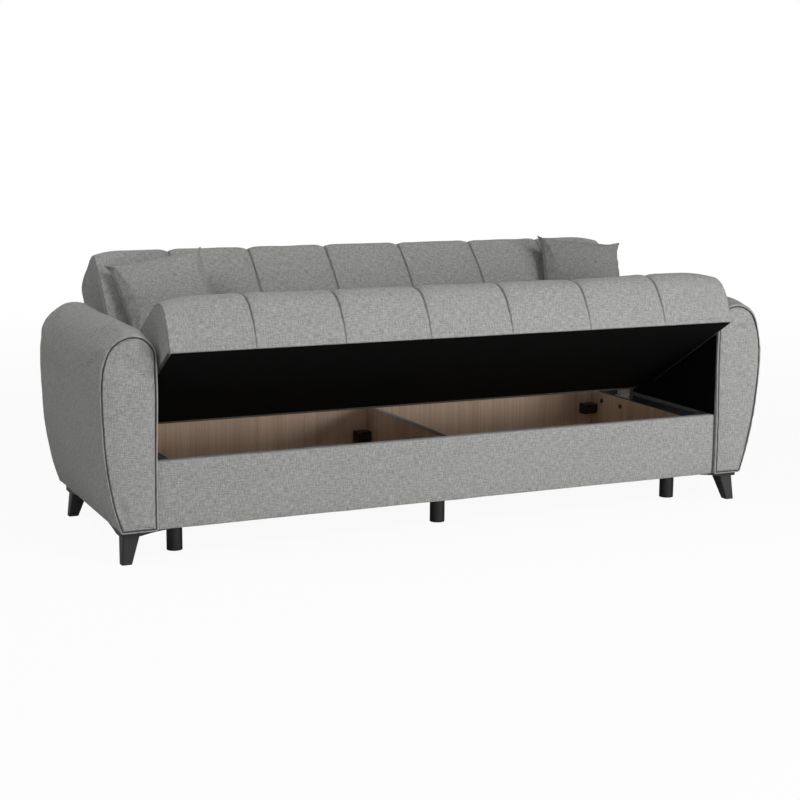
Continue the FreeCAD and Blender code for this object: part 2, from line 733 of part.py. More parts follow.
# Arms: timber frame, padded wrap, front pad with piping, rear cloth, black liner
def make_arms():
    front = arm_front()
    depth = arm_depth()
    frame_start = front + size.arm_front_pad
    frame_length = depth - size.arm_front_pad - size.arm_rear_pad
    inner_start = frame_start + size.arm_wall
    inner_length = frame_length - 2 * size.arm_wall
    inset = size.arm_padding

    core = arm_slice(inset, frame_start, frame_length)
    below = Part.makeBox(
        size.arm_bottom_width - 2 * inset,
        frame_length,
        inset,
        Vector(inset, frame_start, size.leg_height),
    )
    hollow = arm_slice(inset + size.arm_wall, inner_start, inner_length)
    frame = core.fuse(below).cut(hollow)
    low = size.leg_height - size.leg_bolt_down
    high = size.leg_height + size.leg_bolt_up
    bolts = [foot_bolt(way, y, low, high) for _, y, way in foot_corners()]
    holes = bolts + bolt_channels(inset + size.arm_wall)
    frame = frame.cut(holes).removeSplitter()

    start = front - OVERRUN
    length = depth + 2 * OVERRUN
    shell = arm_slice(0, front, depth).cut(arm_slice(inset, start, length))
    opening = Part.makeBox(
        size.arm_bottom_width - 2 * inset,
        length,
        inset + OVERRUN,
        Vector(inset, start, size.leg_height - OVERRUN),
    )
    shell = shell.cut(opening)
    rolled = [
        edge
        for edge in shell.Edges
        if edge.BoundBox.YMax < front + CLOSE
        and edge.BoundBox.ZMax > size.leg_height + inset + CLOSE
        and on_outline(edge)
    ]
    shell = shell.makeFillet(size.arm_edge_radius, rolled).cut(bolt_channels(inset + CLOSE))

    pad_shape = arm_slice(inset, front, size.arm_front_pad)
    rim = [edge for edge in pad_shape.Edges if edge.BoundBox.YMax < front + CLOSE]
    pad_shape = pad_shape.makeFillet(size.arm_pad_radius, rim)
    rear_shape = arm_slice(inset, front + depth - size.arm_rear_pad, size.arm_rear_pad)
    piping = make_piping(front)

    for side, sign in SIDES:
        solid_piece(f"arm_frame_{side}", to_side(frame, sign))
        solid_piece(f"arm_wrap_{side}", to_side(shell, sign))
        solid_piece(f"arm_front_{side}", to_side(pad_shape, sign))
        solid_piece(f"arm_rear_{side}", to_side(rear_shape, sign))
        solid_piece(f"arm_piping_{side}", to_side(piping, sign))
        liner_near = "(arm_gap / 2 - liner_gap - liner_thickness)"
        board(
            f"arm_liner_{side}",
            (beside(sign, liner_near, "liner_thickness"), "rail_front_y", LINER_LOW),
            ("liner_thickness", "box_back", f"{LINER_TOP} - ({LINER_LOW})"),
        )


def on_outline(edge):
    """True for an edge that lies on the arm's outer outline."""
    middle = edge.valueAt((edge.FirstParameter + edge.LastParameter) / 2)
    flat = Vector(middle.x, 0, middle.z)
    return Part.Vertex(flat).distToShape(arm_outline())[0] < CLOSE


def make_piping(front):
    """Cord round the arm's front, from the inner to the outer underside."""
    radius = size.piping_radius
    path_inset = size.arm_edge_radius + radius
    loop = arm_outline().makeOffset2D(-path_inset)
    bottom = size.leg_height + path_inset
    edges = [edge for edge in loop.Edges if edge.BoundBox.ZMax > bottom + CLOSE]
    path = Part.Wire(Part.__sortEdges__(edges))
    path.translate(Vector(0, front - radius, 0))
    start = path.Edges[0].valueAt(path.Edges[0].FirstParameter)
    along = path.Edges[0].tangentAt(path.Edges[0].FirstParameter)
    ring = Part.Wire(Part.makeCircle(radius, start, along))
    return path.makePipeShell([ring], True, False)


def rounded_square(width, inset, z):
    """Outline of a corner leg at one height."""
    square = Part.makePlane(width, width, Vector(inset, inset, z))
    prism = square.extrude(Vector(0, 0, 1))
    upright = [edge for edge in prism.Edges if edge.BoundBox.ZLength > CLOSE]
    rounded = prism.makeFillet(size.foot_corner, upright)
    face = next(f for f in rounded.Faces if f.BoundBox.ZMax < z + CLOSE)
    return face.OuterWire


# Corner legs: a splayed foot that widens upwards on its inner sides, with wings under the frame
def make_corner_legs():
    plate_z = size.leg_height - size.foot_plate
    column = Part.makeLoft(
        [
            rounded_square(size.foot_size, 0, 0),
            rounded_square(size.foot_top, size.foot_splay, plate_z),
        ],
        True,
        True,
    )
    width = size.foot_splay + size.foot_top
    tip = width + size.foot_wing
    tip_z = size.leg_height - size.foot_wing_tip
    hollow = Vector(width + size.foot_wing / 2, 0, (plate_z + tip_z) / 2 + size.foot_wing_hollow)
    start = Vector(width, 0, plate_z)
    end = Vector(tip, 0, tip_z)
    sides = Part.makePolygon(
        [
            end,
            Vector(tip, 0, size.leg_height),
            Vector(0, 0, size.leg_height),
            Vector(0, 0, plate_z),
            start,
        ]
    )
    wing_profile = Part.Wire(sides.Edges + [Part.Arc(start, hollow, end).toShape()])
    wing = Part.Face(wing_profile).extrude(Vector(0, width, 0))
    across = wing.mirror(Vector(0, 0, 0), Vector(1, -1, 0))
    leg = column.fuse([wing, across]).removeSplitter()
    low = size.leg_height - size.leg_bolt_down
    high = size.leg_height + size.leg_bolt_up
    bolts = []
    for side, sign in SIDES:
        for row, corner_y, way in foot_corners():
            shape = leg.mirror(Vector(0, 0, 0), Vector(1, 0, 0))
            if way < 0:
                shape = shape.mirror(Vector(0, 0, 0), Vector(0, 1, 0))
            shape.translate(Vector(size.arm_bottom_width, corner_y, 0))
            bolt = foot_bolt(way, corner_y, low, high)
            shape = shape.cut(bolt)
            solid_piece(f"corner_leg_{row}_{side}", to_side(shape, sign))
            bolts.append(to_side(bolt, sign))
    solid_piece("corner_leg_bolts", Part.makeCompound(bolts))


# Bolts that hold the arms to the box
def make_arm_bolts():
    bolts = []
    for side, sign in SIDES:
        for index, (along, height) in enumerate(ARM_BOLTS):
            spot = (along, height)
            head = rod(
                f"arm_bolt_head_{side}_{index}",
                "arm_bolt_head",
                "arm_bolt_head_height",
                (signed(sign, f"{HALF_INSIDE} - arm_bolt_head_height"), *spot),
                outward(sign),
            )
            shank = rod(
                f"arm_bolt_shank_{side}_{index}",
                "arm_bolt_radius",
                "ledge_width + arm_padding + arm_wall",
                (signed(sign, HALF_INSIDE), *spot),
                outward(sign),
            )
            bolts.append(join(f"arm_bolt_{side}_{index}", [head, shank]))
    finish(group("arm_bolts", bolts), "arm_bolts")


# Hinge hardware on each side, from the middle outwards: seat plate, back plate, bracket
def plate_offset(sign, near):
    """Sketch offset along X for a plate that is padded towards +X."""
    return near if sign > 0 else f"-({near}) - plate_thickness"


def make_brackets():
    for side, sign in SIDES:
        name = f"hinge_bracket_{side}"
        body = doc.addObject("PartDesign::Body", name)
        foot_z = BOX_TOP
        front = f"{HINGE_Y} - bracket_front"
        rear = f"{HINGE_Y} + bracket_rear"
        offset = plate_offset(sign, BRACKET_X)
        flank = outline(
            body,
            f"{name}_flank",
            "YZ_Plane",
            offset,
            [
                (front, foot_z),
                (rear, foot_z),
                (rear, f"{foot_z} + bracket_foot"),
                (f"{HINGE_Y} + boss_radius", f"{foot_z} + bracket_neck_height"),
                (f"{HINGE_Y} + boss_radius", HINGE_Z),
                (f"{HINGE_Y} - boss_radius", HINGE_Z),
                (f"{HINGE_Y} - boss_radius", f"{foot_z} + bracket_neck_height"),
                (front, f"{foot_z} + bracket_flange_height"),
            ],
        )
        pad(body, f"{name}_plate", flank, "plate_thickness")
        ring = circle(body, f"{name}_ring", "YZ_Plane", offset, (HINGE_Y, HINGE_Z), "boss_radius")
        pad(body, f"{name}_boss", ring, "plate_thickness")
        inner = f"({BRACKET_X} - bracket_foot_width)"
        low_x = inner if sign > 0 else f"-({BRACKET_X})"
        high_x = BRACKET_X if sign > 0 else f"-{inner}"
        foot = outline(
            body,
            f"{name}_foot_outline",
            "XY_Plane",
            foot_z,
            [(low_x, front), (high_x, front), (high_x, rear), (low_x, rear)],
        )
        pad(body, f"{name}_foot", foot, "bracket_foot")
        flange = outline(
            body,
            f"{name}_flange_outline",
            "XY_Plane",
            foot_z,
            [
                (low_x, front),
                (high_x, front),
                (high_x, f"{front} + bracket_foot"),
                (low_x, f"{front} + bracket_foot"),
            ],
        )
        pad(body, f"{name}_flange", flange, "bracket_flange_height")
        bore = circle(body, f"{name}_bore", "YZ_Plane", offset, (HINGE_Y, HINGE_Z), "pin_radius")
        through(body, f"{name}_bore_cut", bore)
        for index, along in enumerate(SCREW_Y):
            hole = circle(
                body,
                f"{name}_screw_{index}",
                "XY_Plane",
                foot_z,
                (signed(sign, SCREW_X), along),
                "bracket_screw_radius",
            )
            through(body, f"{name}_screw_cut_{index}", hole)
        finish(body, name)


def make_bracket_screws():
    screws = []
    for side, sign in SIDES:
        for index, along in enumerate(SCREW_Y):
            spot = (signed(sign, SCREW_X), along)
            top = f"{BOX_TOP} + bracket_foot"
            shank = rod(
                f"bracket_shank_{side}_{index}",
                "bracket_screw_radius",
                "bracket_screw_length",
                (*spot, f"{top} - bracket_screw_length"),
                "+z",
            )
            head = rod(
                f"bracket_head_{side}_{index}",
                "bracket_screw_head",
                "bracket_screw_head_height",
                (*spot, top),
                "+z",
            )
            screws.append(join(f"bracket_screw_{side}_{index}", [shank, head]))
    finish(group("bracket_screws", screws), "bracket_screws")


def make_hinge_pins():
    washers = []
    for side, sign in SIDES:
        line = (HINGE_Y, HINGE_Z)
        shank = rod(
            f"pin_shank_{side}",
            "pin_radius",
            f"2 * ({PLATE_STEP}) + plate_thickness + pin_tail",
            (signed(sign, f"{SEAT_PLATE_X} - pin_tail"), *line),
            outward(sign),
        )
        head = rod(
            f"pin_head_{side}",
            "pin_head_radius",
            "pin_head_height",
            (signed(sign, f"{BRACKET_X} + plate_thickness"), *line),
            outward(sign),
        )
        finish(join(f"hinge_pin_{side}", [shank, head]), f"hinge_pin_{side}")
        for index, near in enumerate((SEAT_PLATE_X, BACK_PLATE_X)):
            start = f"{near} + plate_thickness + washer_clearance"
            disc = rod(
                f"washer_disc_{side}_{index}",
                "washer_radius",
                "plate_gap - 2 * washer_clearance",
                (signed(sign, start), *line),
                outward(sign),
            )
            bore = rod(
                f"washer_bore_{side}_{index}",
                "pin_radius",
                "plate_gap",
                (signed(sign, start), *line),
                outward(sign),
            )
            washers.append(cut(f"washer_{side}_{index}", disc, [bore]))
    finish(group("hinge_washers", washers), "hinge_washers")


def plate_bolt_spots(kind):
    """Centres of a hinge plate's bolts on its own drawing axes."""
    spots = []
    for index in range(3):
        reach = f"plate_bolt_first + {index} * plate_bolt_pitch"
        if kind == "seat":
            spots.append((f"-({reach})", f"{SEAT_FRAME_LOW} + seat_plate_rise / 2"))
        else:
            spots.append((f"{BACK_FRAME_FRONT} + back_frame_depth / 2", f"{reach} - frame_wood"))
    return spots


def make_hinge_plates():
    """Steel plates that carry the seat and the back on the hinge pins."""
    high = f"{SEAT_FRAME_LOW} + seat_plate_rise"
    seat_points = [
        ("boss_radius", "0"),
        ("-boss_radius / 2", "-boss_radius"),
        ("-seat_setback", SEAT_FRAME_LOW),
        (f"-{SEAT_PLATE_FRONT}", SEAT_FRAME_LOW),
        (f"-{SEAT_PLATE_FRONT}", high),
        ("-notch_reach + frame_room", high),
        ("-boss_radius", "0"),
    ]
    front = f"{BACK_FRAME_FRONT} + frame_room"
    rear = f"{BACK_FRAME_FRONT} + back_frame_depth - frame_room"
    back_points = [
        ("0", "-boss_radius"),
        (rear, "back_setback"),
        (rear, BACK_PLATE_HIGH),
        (front, BACK_PLATE_HIGH),
        (front, "notch_reach - frame_room"),
        ("0", "boss_radius"),
    ]
    for kind, near, points, angle in (
        ("seat", SEAT_PLATE_X, seat_points, "-seat_open_angle"),
        ("back", BACK_PLATE_X, back_points, "-back_lean"),
    ):
        for side, sign in SIDES:
            name = f"{kind}_hinge_plate_{side}"
            body = doc.addObject("PartDesign::Body", name)
            offset = plate_offset(sign, near)
            shape = outline(body, f"{name}_outline", "YZ_Plane", offset, points)
            pad(body, f"{name}_pad", shape, "plate_thickness")
            ring = circle(body, f"{name}_ring", "YZ_Plane", offset, ("0", "0"), "boss_radius")
            pad(body, f"{name}_boss", ring, "plate_thickness")
            bore = "pin_radius + pin_clearance"
            hole = circle(body, f"{name}_bore", "YZ_Plane", offset, ("0", "0"), bore)
            through(body, f"{name}_bore_cut", hole)
            for index, spot in enumerate(plate_bolt_spots(kind)):
                drill = circle(
                    body, f"{name}_drill_{index}", "YZ_Plane", offset, spot, "plate_bolt_radius"
                )
                through(body, f"{name}_drill_cut_{index}", drill)
            bind_to_hinge(body, angle)
            finish(body, name)


def make_plate_bolts():
    for kind, near, angle in (
        ("seat", SEAT_PLATE_X, "-seat_open_angle"),
        ("back", BACK_PLATE_X, "-back_lean"),
    ):
        bolts = []
        for side, sign in SIDES:
            for index, spot in enumerate(plate_bolt_spots(kind)):
                label = f"{kind}_bolt_{side}_{index}"
                shank = rod(
                    f"{label}_shank",
                    "plate_bolt_radius",
                    "plate_thickness + frame_wood",
                    (signed(sign, f"{near} - frame_wood"), *spot),
                    outward(sign),
                )
                head = rod(
                    f"{label}_head",
                    "plate_bolt_head",
                    "plate_bolt_head_height",
                    (signed(sign, f"{near} + plate_thickness"), *spot),
                    outward(sign),
                )
                bolts.append(join(label, [shank, head]))
        node = group(f"{kind}_plate_bolts", bolts)
        bind_to_hinge(node, angle)
        finish(node, f"{kind}_plate_bolts")


# Frames: four rails and two cross rails, with a spring block in each bay
def make_frame(name, kind, half, low, high, start, depth, angle):
    """Frame drawn on the hinge axes, in the plane that its depth is square to."""
    body = doc.addObject("PartDesign::Body", name)
    plane = "XY_Plane" if kind == "seat" else "XZ_Plane"
    sheet_offset = start if kind == "seat" else f"-({start}) - {depth}"
    outer = outline(
        body,
        f"{name}_outline",
        plane,
        sheet_offset,
        [(f"-({half})", low), (half, low), (half, high), (f"-({half})", high)],
    )
    pad(body, f"{name}_pad", outer, depth)
    bay = f"((2 * ({half}) - 4 * frame_wood) / 3)"
    spans = []
    for index in range(3):
        left = f"-({half}) + frame_wood + {index} * ({bay} + frame_wood)"
        right = f"{left} + {bay}"
        spans.append((left, right))
        window = outline(
            body,
            f"{name}_bay_{index}",
            plane,
            sheet_offset,
            [
                (left, f"{low} + frame_wood"),
                (right, f"{low} + frame_wood"),
                (right, f"{high} - frame_wood"),
                (left, f"{high} - frame_wood"),
            ],
        )
        through(body, f"{name}_bay_cut_{index}", window)
    for side, sign in SIDES:
        for index, spot in enumerate(plate_bolt_spots(kind)):
            offset = f"{half} - frame_wood" if sign > 0 else f"-({half})"
            drill = circle(
                body, f"{name}_drill_{side}_{index}", "YZ_Plane", offset, spot, "plate_bolt_radius"
            )
            pocket = body.newObject("PartDesign::Pocket", f"{name}_drill_cut_{side}_{index}")
            pocket.Profile = drill
            pocket.Type = "Length"
            pocket.Reversed = True
            bind(pocket, "Length", "frame_wood")
    bind_to_hinge(body, angle)
    finish(body, name)

    blocks = []
    for index, (left, right) in enumerate(spans):
        width = f"{bay} - 2 * bay_room"
        reach = f"{high} - ({low}) - 2 * frame_wood - 2 * bay_room"
        if kind == "seat":
            corner = (f"{left} + bay_room", f"{low} + frame_wood + bay_room", start)
            lengths = (width, reach, depth)
        else:
            corner = (f"{left} + bay_room", start, f"{low} + frame_wood + bay_room")
            lengths = (width, depth, reach)
        blocks.append(block(f"{kind}_spring_block_{index}", corner, lengths))
    node = group(f"{kind}_spring_blocks", blocks)
    bind_to_hinge(node, angle)
    finish(node, f"{kind}_spring_blocks")


def seat_width():
    """Seat end to seat end."""
    return size.arm_gap - 2 * size.seat_end_gap


def seam_lines(width):
    """Ends and seams of a cushion along X, from left to right, at the seat's spacing."""
    seams = CHANNELS - 1
    channel_width = (seat_width() - 2 * size.end_channel) / (seams - 1)
    inner = [(index - (seams - 1) / 2) * channel_width for index in range(seams)]
    return [-width / 2] + inner + [width / 2]


def channel_sections(left, right, width):
    """Places along one channel, each with how far the cover is drawn in there."""
    slope = size.seam_shoulder / (right - left)
    middle = (left + right) / 2
    sections = []
    for share in (0, slope, 0.5, 1 - slope, 1):
        x = left + share * (right - left)
        rise = 1 - (2 * abs(share - 0.5)) ** 4
        nearest = left if x < middle else right
        at_end = abs(abs(nearest) - width / 2) < CLOSE
        depth = size.end_inset if at_end else size.seam_depth
        sections.append((x, depth * (1 - rise)))
    return sections


def seat_section(x, drawn):
    """Seat outline at one place along X, on the hinge axes."""
    rear = -size.seat_setback
    front = rear - size.seat_depth
    low = -worth(SEAT_DROP)
    front_radius = size.seat_front_radius
    rear_radius = size.seat_rear_radius
    face = front + drawn
    top_front = size.seat_crown_front - drawn
    top_rear = size.seat_crown_rear - drawn * SEAM_FADE
    crown = size.seat_crown - drawn
    diagonal = 1 - math.sqrt(0.5)

    def at(y, z):
        return Vector(x, y, z)

    start_front = at(face, top_front - front_radius)
    start_top = at(face + front_radius, top_front)
    end_top = at(rear - rear_radius, top_rear)
    end_rear = at(rear, top_rear - rear_radius)
    middle_y = (face + front_radius + rear - rear_radius) / 2
    foot = at(front + size.seat_front_bulge, low)
    middle_z = (low + start_front.z) / 2
    return Part.Wire(
        [
            Part.LineSegment(at(rear, low), foot).toShape(),
            Part.Arc(foot, at(face + size.seat_front_bow, middle_z), start_front).toShape(),
            Part.Arc(
                start_front,
                at(face + diagonal * front_radius, top_front - diagonal * front_radius),
                start_top,
            ).toShape(),
            Part.Arc(start_top, at(middle_y, crown), end_top).toShape(),
            Part.Arc(
                end_top,
                at(rear - diagonal * rear_radius, top_rear - diagonal * rear_radius),
                end_rear,
            ).toShape(),
            Part.LineSegment(end_rear, at(rear, low)).toShape(),
        ]
    )


def back_section(x, drawn):
    """Back outline at one place along X, on the hinge axes, standing upright."""
    low = size.back_setback
    top = size.back_height - drawn
    radius = size.back_top_radius
    foot_radius = size.back_foot_radius
    crown = -size.back_crown + drawn
    front_low = -size.back_foot_crown + drawn * SEAM_FADE
    front_high = -size.back_head_crown + drawn
    rear = size.back_depth
    head = size.back_depth + size.back_swell
    diagonal = 1 - math.sqrt(0.5)

    def at(y, z):
        return Vector(x, y, z)

    foot_end = at(front_low, low + foot_radius)
    foot_start = at(front_low + foot_radius, low)
    face_top = at(front_high, top - radius)
    top_front = at(front_high + radius, top)
    top_rear = at(head - radius, top)
    head_high = at(head, top - radius)
    swell_high = at(head, (size.back_swell_start + size.back_height) / 2)
    swell_low = at(rear, size.back_swell_start)
    swell_mid = at((rear + head) / 2 + size.back_swell_bow, (swell_low.z + swell_high.z) / 2)
    return Part.Wire(
        [
            Part.LineSegment(at(rear, low), foot_start).toShape(),
            Part.Arc(
                foot_start,
                at(front_low + diagonal * foot_radius, low + diagonal * foot_radius),
                foot_end,
            ).toShape(),
            Part.Arc(foot_end, at(crown, (foot_end.z + face_top.z) / 2), face_top).toShape(),
            Part.Arc(
                face_top,
                at(front_high + diagonal * radius, top - diagonal * radius),
                top_front,
            ).toShape(),
            Part.Arc(
                top_front,
                at((top_front.y + top_rear.y) / 2, top + size.back_top_crown),
                top_rear,
            ).toShape(),
            Part.Arc(
                top_rear,
                at(head - diagonal * radius, top - diagonal * radius),
                head_high,
            ).toShape(),
            Part.LineSegment(head_high, swell_high).toShape(),
            Part.Arc(swell_high, swell_mid, swell_low).toShape(),
            Part.LineSegment(swell_low, at(rear, low)).toShape(),
        ]
    )


def channelled(width, section):
    """A cushion of seven sewn channels, each lofted from seam to seam."""
    lines = seam_lines(width)
    channels = []
    for left, right in zip(lines, lines[1:]):
        wires = [section(x, drawn) for x, drawn in channel_sections(left, right, width)]
        channels.append(Part.makeLoft(wires, True, False))
    return channels[0].fuse(channels[1:])


def mirrored_pair(shape):
    """A shape and its mirror image across the sofa's middle."""
    return [shape, shape.mirror(Vector(0, 0, 0), Vector(1, 0, 0))]


def make_seat_cushion():
    width = seat_width()
    half = width / 2
    drop = worth(SEAT_DROP)
    frame_half = worth(SEAT_PLATE_X)
    frame_front = worth(SEAT_FRAME_FRONT)
    plate_front = worth(SEAT_PLATE_FRONT)
    room = size.frame_room
    full = channelled(width, seat_section)
    cavity_height = size.cover_thickness + size.seat_frame_height + room
    cavity = Part.makeBox(
        2 * frame_half + 2 * room,
        frame_front - size.seat_frame_rear + 2 * room,
        cavity_height,
        Vector(-frame_half - room, -frame_front - room, -drop),
    )
    notch_x = frame_half - size.seat_notch_room
    notch_long = half - notch_x + OVERRUN
    notch = Part.makeBox(
        notch_long,
        size.notch_reach,
        drop + size.seat_crown + 2 * OVERRUN,
        Vector(notch_x, -size.notch_reach, -drop - OVERRUN),
    )
    low_reach = size.bracket_front + size.low_notch_room
    low_height = size.bracket_flange_height - size.panel_drop - size.seat_rail_gap
    low_notch = Part.makeBox(
        notch_long,
        low_reach,
        low_height + size.low_notch_headroom + OVERRUN,
        Vector(notch_x, -low_reach, -drop - OVERRUN),
    )
    plate_room = Part.makeBox(
        size.plate_thickness + size.plate_bolt_head_height + 2 * room,
        plate_front + room - size.seat_setback,
        cavity_height,
        Vector(frame_half - room, -plate_front - room, -drop),
    )
    tools = [cavity]
    for tool in (notch, low_notch, plate_room):
        tools += mirrored_pair(tool)
    solid_piece("seat_cushion", full.cut(tools), hinge_placement(-size.seat_open_angle))

    cover = Part.makeBox(
        2 * frame_half,
        frame_front - size.seat_frame_rear,
        size.cover_thickness,
        Vector(-frame_half, -frame_front, -drop),
    )
    solid_piece("seat_dust_cover", cover, hinge_placement(-size.seat_open_angle))


def make_back_cushion():
    width = size.arm_gap - 2 * size.back_end_gap
    frame_half = worth(BACK_PLATE_X)
    frame_front = worth(BACK_FRAME_FRONT)
    frame_high = worth(BACK_FRAME_HIGH)
    frame_low = size.back_frame_low
    room = size.frame_room
    full = channelled(width, back_section)
    front = frame_front - room
    deep = size.back_depth + size.back_swell + OVERRUN - front
    cavity = Part.makeBox(
        2 * frame_half + 2 * room,
        size.back_frame_depth + size.cover_thickness + room,
        frame_high - frame_low + 2 * room,
        Vector(-frame_half - room, front, frame_low - room),
    )
    mouth = Part.makeBox(
        2 * frame_half + 2 * room,
        deep,
        size.back_swell_start - frame_low + room,
        Vector(-frame_half - room, front, frame_low - room),
    )
    notch_x = worth(SEAT_PLATE_X) - size.back_notch_room
    notch = Part.makeBox(
        width / 2 - notch_x + OVERRUN,
        size.back_depth + size.back_swell + size.back_crown + 2 * OVERRUN,
        size.notch_reach,
        Vector(notch_x, -size.back_crown - OVERRUN, 0),
    )
    plate_room = Part.makeBox(
        size.plate_thickness + size.plate_bolt_head_height + 2 * room,
        deep,
        worth(BACK_PLATE_HIGH) + room - size.back_setback,
        Vector(frame_half - room, front, size.back_setback),
    )
    tools = [cavity, mouth]
    for tool in (notch, plate_room):
        tools += mirrored_pair(tool)
    solid_piece("back_cushion", full.cut(tools), hinge_placement(-size.back_lean))

    cover = Part.makeBox(
        2 * frame_half,
        size.cover_thickness,
        size.back_swell_start - frame_low,
        Vector(-frame_half, frame_front + size.back_frame_depth, frame_low),
    )
    solid_piece("back_rear_cover", cover, hinge_placement(-size.back_lean))


# Pillows: pinched corners, drawn-in sides, more bulge in front than behind
def pillow_shape():
    half = size.pillow_size / 2
    wires = []
    for share in PILLOW_STATIONS:
        swell = math.sqrt(1 - share**2)
        tip = half - size.pillow_draw * (1 - share**4)
        front = size.pillow_edge + (size.pillow_front - size.pillow_edge) * swell
        rear = size.pillow_edge + (size.pillow_rear - size.pillow_edge) * swell
        x = share * half
        low = Vector(x, 0, -tip)
        high = Vector(x, 0, tip)
        wires.append(
            Part.Wire(
                [
                    Part.Arc(low, Vector(x, -front, 0), high).toShape(),
                    Part.Arc(high, Vector(x, rear, 0), low).toShape(),
                ]
            )
        )
    return Part.makeLoft(wires, True, False)


def make_pillows():
    back = hinge_placement(-size.back_lean)
    for side, sign in SIDES:
        reach = worth(f"arm_gap / 2 - pillow_{side}_inset")
        off = worth(f"back_crown + pillow_rear + pillow_{side}_stand")
        spin = FreeCAD.Rotation(Vector(0, 1, 0), sign * worth(f"pillow_{side}_roll"))
        swing = FreeCAD.Rotation(Vector(0, 0, 1), -sign * worth(f"pillow_{side}_turn"))
        tip = FreeCAD.Rotation(Vector(1, 0, 0), worth(f"pillow_{side}_tilt"))
        centre = Vector(sign * reach, -off, worth(f"pillow_{side}_up"))
        local = FreeCAD.Placement(centre, swing.multiply(spin).multiply(tip))
        solid_piece(f"pillow_{side}", pillow_shape(), back.multiply(local))


def check_and_write():
    """Refuse a failed object or an invalid shape, then write every piece."""
    doc.recompute()
    for item in doc.Objects:
        bad = {"Invalid", "Error"} & set(item.State)
        if bad:
            raise RuntimeError(f"{item.Label} is {sorted(bad)}")
    for name, item in pieces.items():
        if item.Shape.isNull() or not item.Shape.isValid():
            raise RuntimeError(f"{name} has no valid shape")
        if not item.Shape.Solids:
            raise RuntimeError(f"{name} has no solid")
    os.makedirs("parts", exist_ok=True)
    for name, item in pieces.items():
        item.Shape.exportStep(f"parts/{name}.step")
    print(f"{len(pieces)} pieces written")


make_front_rail()
make_box()
make_battens_and_middle_legs()
make_corner_blocks()
make_arms()
make_corner_legs()
make_arm_bolts()
make_brackets()
make_bracket_screws()
make_hinge_pins()
make_hinge_plates()
make_plate_bolts()
make_frame(
    "seat_frame",
    "seat",
    SEAT_PLATE_X,
    f"-{SEAT_FRAME_FRONT}",
    "-seat_frame_rear",
    SEAT_FRAME_LOW,
    "seat_frame_height",
    "-seat_open_angle",
)
make_frame(
    "back_frame",
    "back",
    BACK_PLATE_X,
    "back_frame_low",
    BACK_FRAME_HIGH,
    BACK_FRAME_FRONT,
    "back_frame_depth",
    "-back_lean",
)
make_seat_cushion()
make_back_cushion()
make_pillows()
check_and_write()
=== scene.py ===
"""Looks of the storage sofa: covers, cushions, boards and fittings around the fixed CAD frame."""

import json
import logging
import math
from dataclasses import dataclass
from enum import Enum
from typing import Any, Callable, Sequence

import bpy
import numpy as np
from mathutils import Matrix, Vector


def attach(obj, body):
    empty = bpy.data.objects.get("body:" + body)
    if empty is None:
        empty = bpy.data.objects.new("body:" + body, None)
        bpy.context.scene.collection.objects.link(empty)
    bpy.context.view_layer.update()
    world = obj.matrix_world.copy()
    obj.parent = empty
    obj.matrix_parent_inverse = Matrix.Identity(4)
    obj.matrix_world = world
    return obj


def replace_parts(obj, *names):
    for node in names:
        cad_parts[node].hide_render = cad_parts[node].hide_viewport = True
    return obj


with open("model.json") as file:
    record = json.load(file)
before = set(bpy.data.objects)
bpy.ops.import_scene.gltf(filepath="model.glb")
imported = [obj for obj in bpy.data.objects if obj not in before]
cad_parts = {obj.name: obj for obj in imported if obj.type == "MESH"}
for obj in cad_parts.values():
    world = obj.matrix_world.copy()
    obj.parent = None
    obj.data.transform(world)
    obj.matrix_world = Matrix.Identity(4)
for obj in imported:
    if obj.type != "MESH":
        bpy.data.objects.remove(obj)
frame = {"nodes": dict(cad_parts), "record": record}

LOG = logging.getLogger("sofa")
Array = np.ndarray
WEAVE = "weave"
# Attribute of painted shade: how far the cloth is darkened in seams, hems and on the underside lips
SEAM = "seam"
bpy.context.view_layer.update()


# Shared sizes, in metres, the same as the frame's
HINGE = Vector((0.0, 0.085, 0.470))
SEAT_ANGLE = -30.5
BACK_ANGLE = -37.0
ARM_INNER = 0.950
ARM_FRONT = -0.420
ARM_REAR = 0.319
TUCK_FRONT = -0.409
TUCK_REAR = 0.3145
FRAME_LOW = 0.097
RAIL_FRONT = -0.405
RAIL_REAR = -0.381
RAIL_TOP = 0.296
ON_EDGE = 1e-9
SEAM_X = (-0.681, -0.4086, -0.1362, 0.1362, 0.4086, 0.681)


class Body(str, Enum):
    """Bodies of the frame that pieces ride on."""

    BASE = "base"
    SEAT = "seat"
    BACK = "back"
    LEFT_PILLOW = "left_pillow"
    RIGHT_PILLOW = "right_pillow"


class Side(Enum):
    """Left or right side of the sofa, as the sign of X."""

    LEFT = -1
    RIGHT = 1

    @property
    def word(self) -> str:
        """Name of the side as node names have it."""
        return self.name.lower()


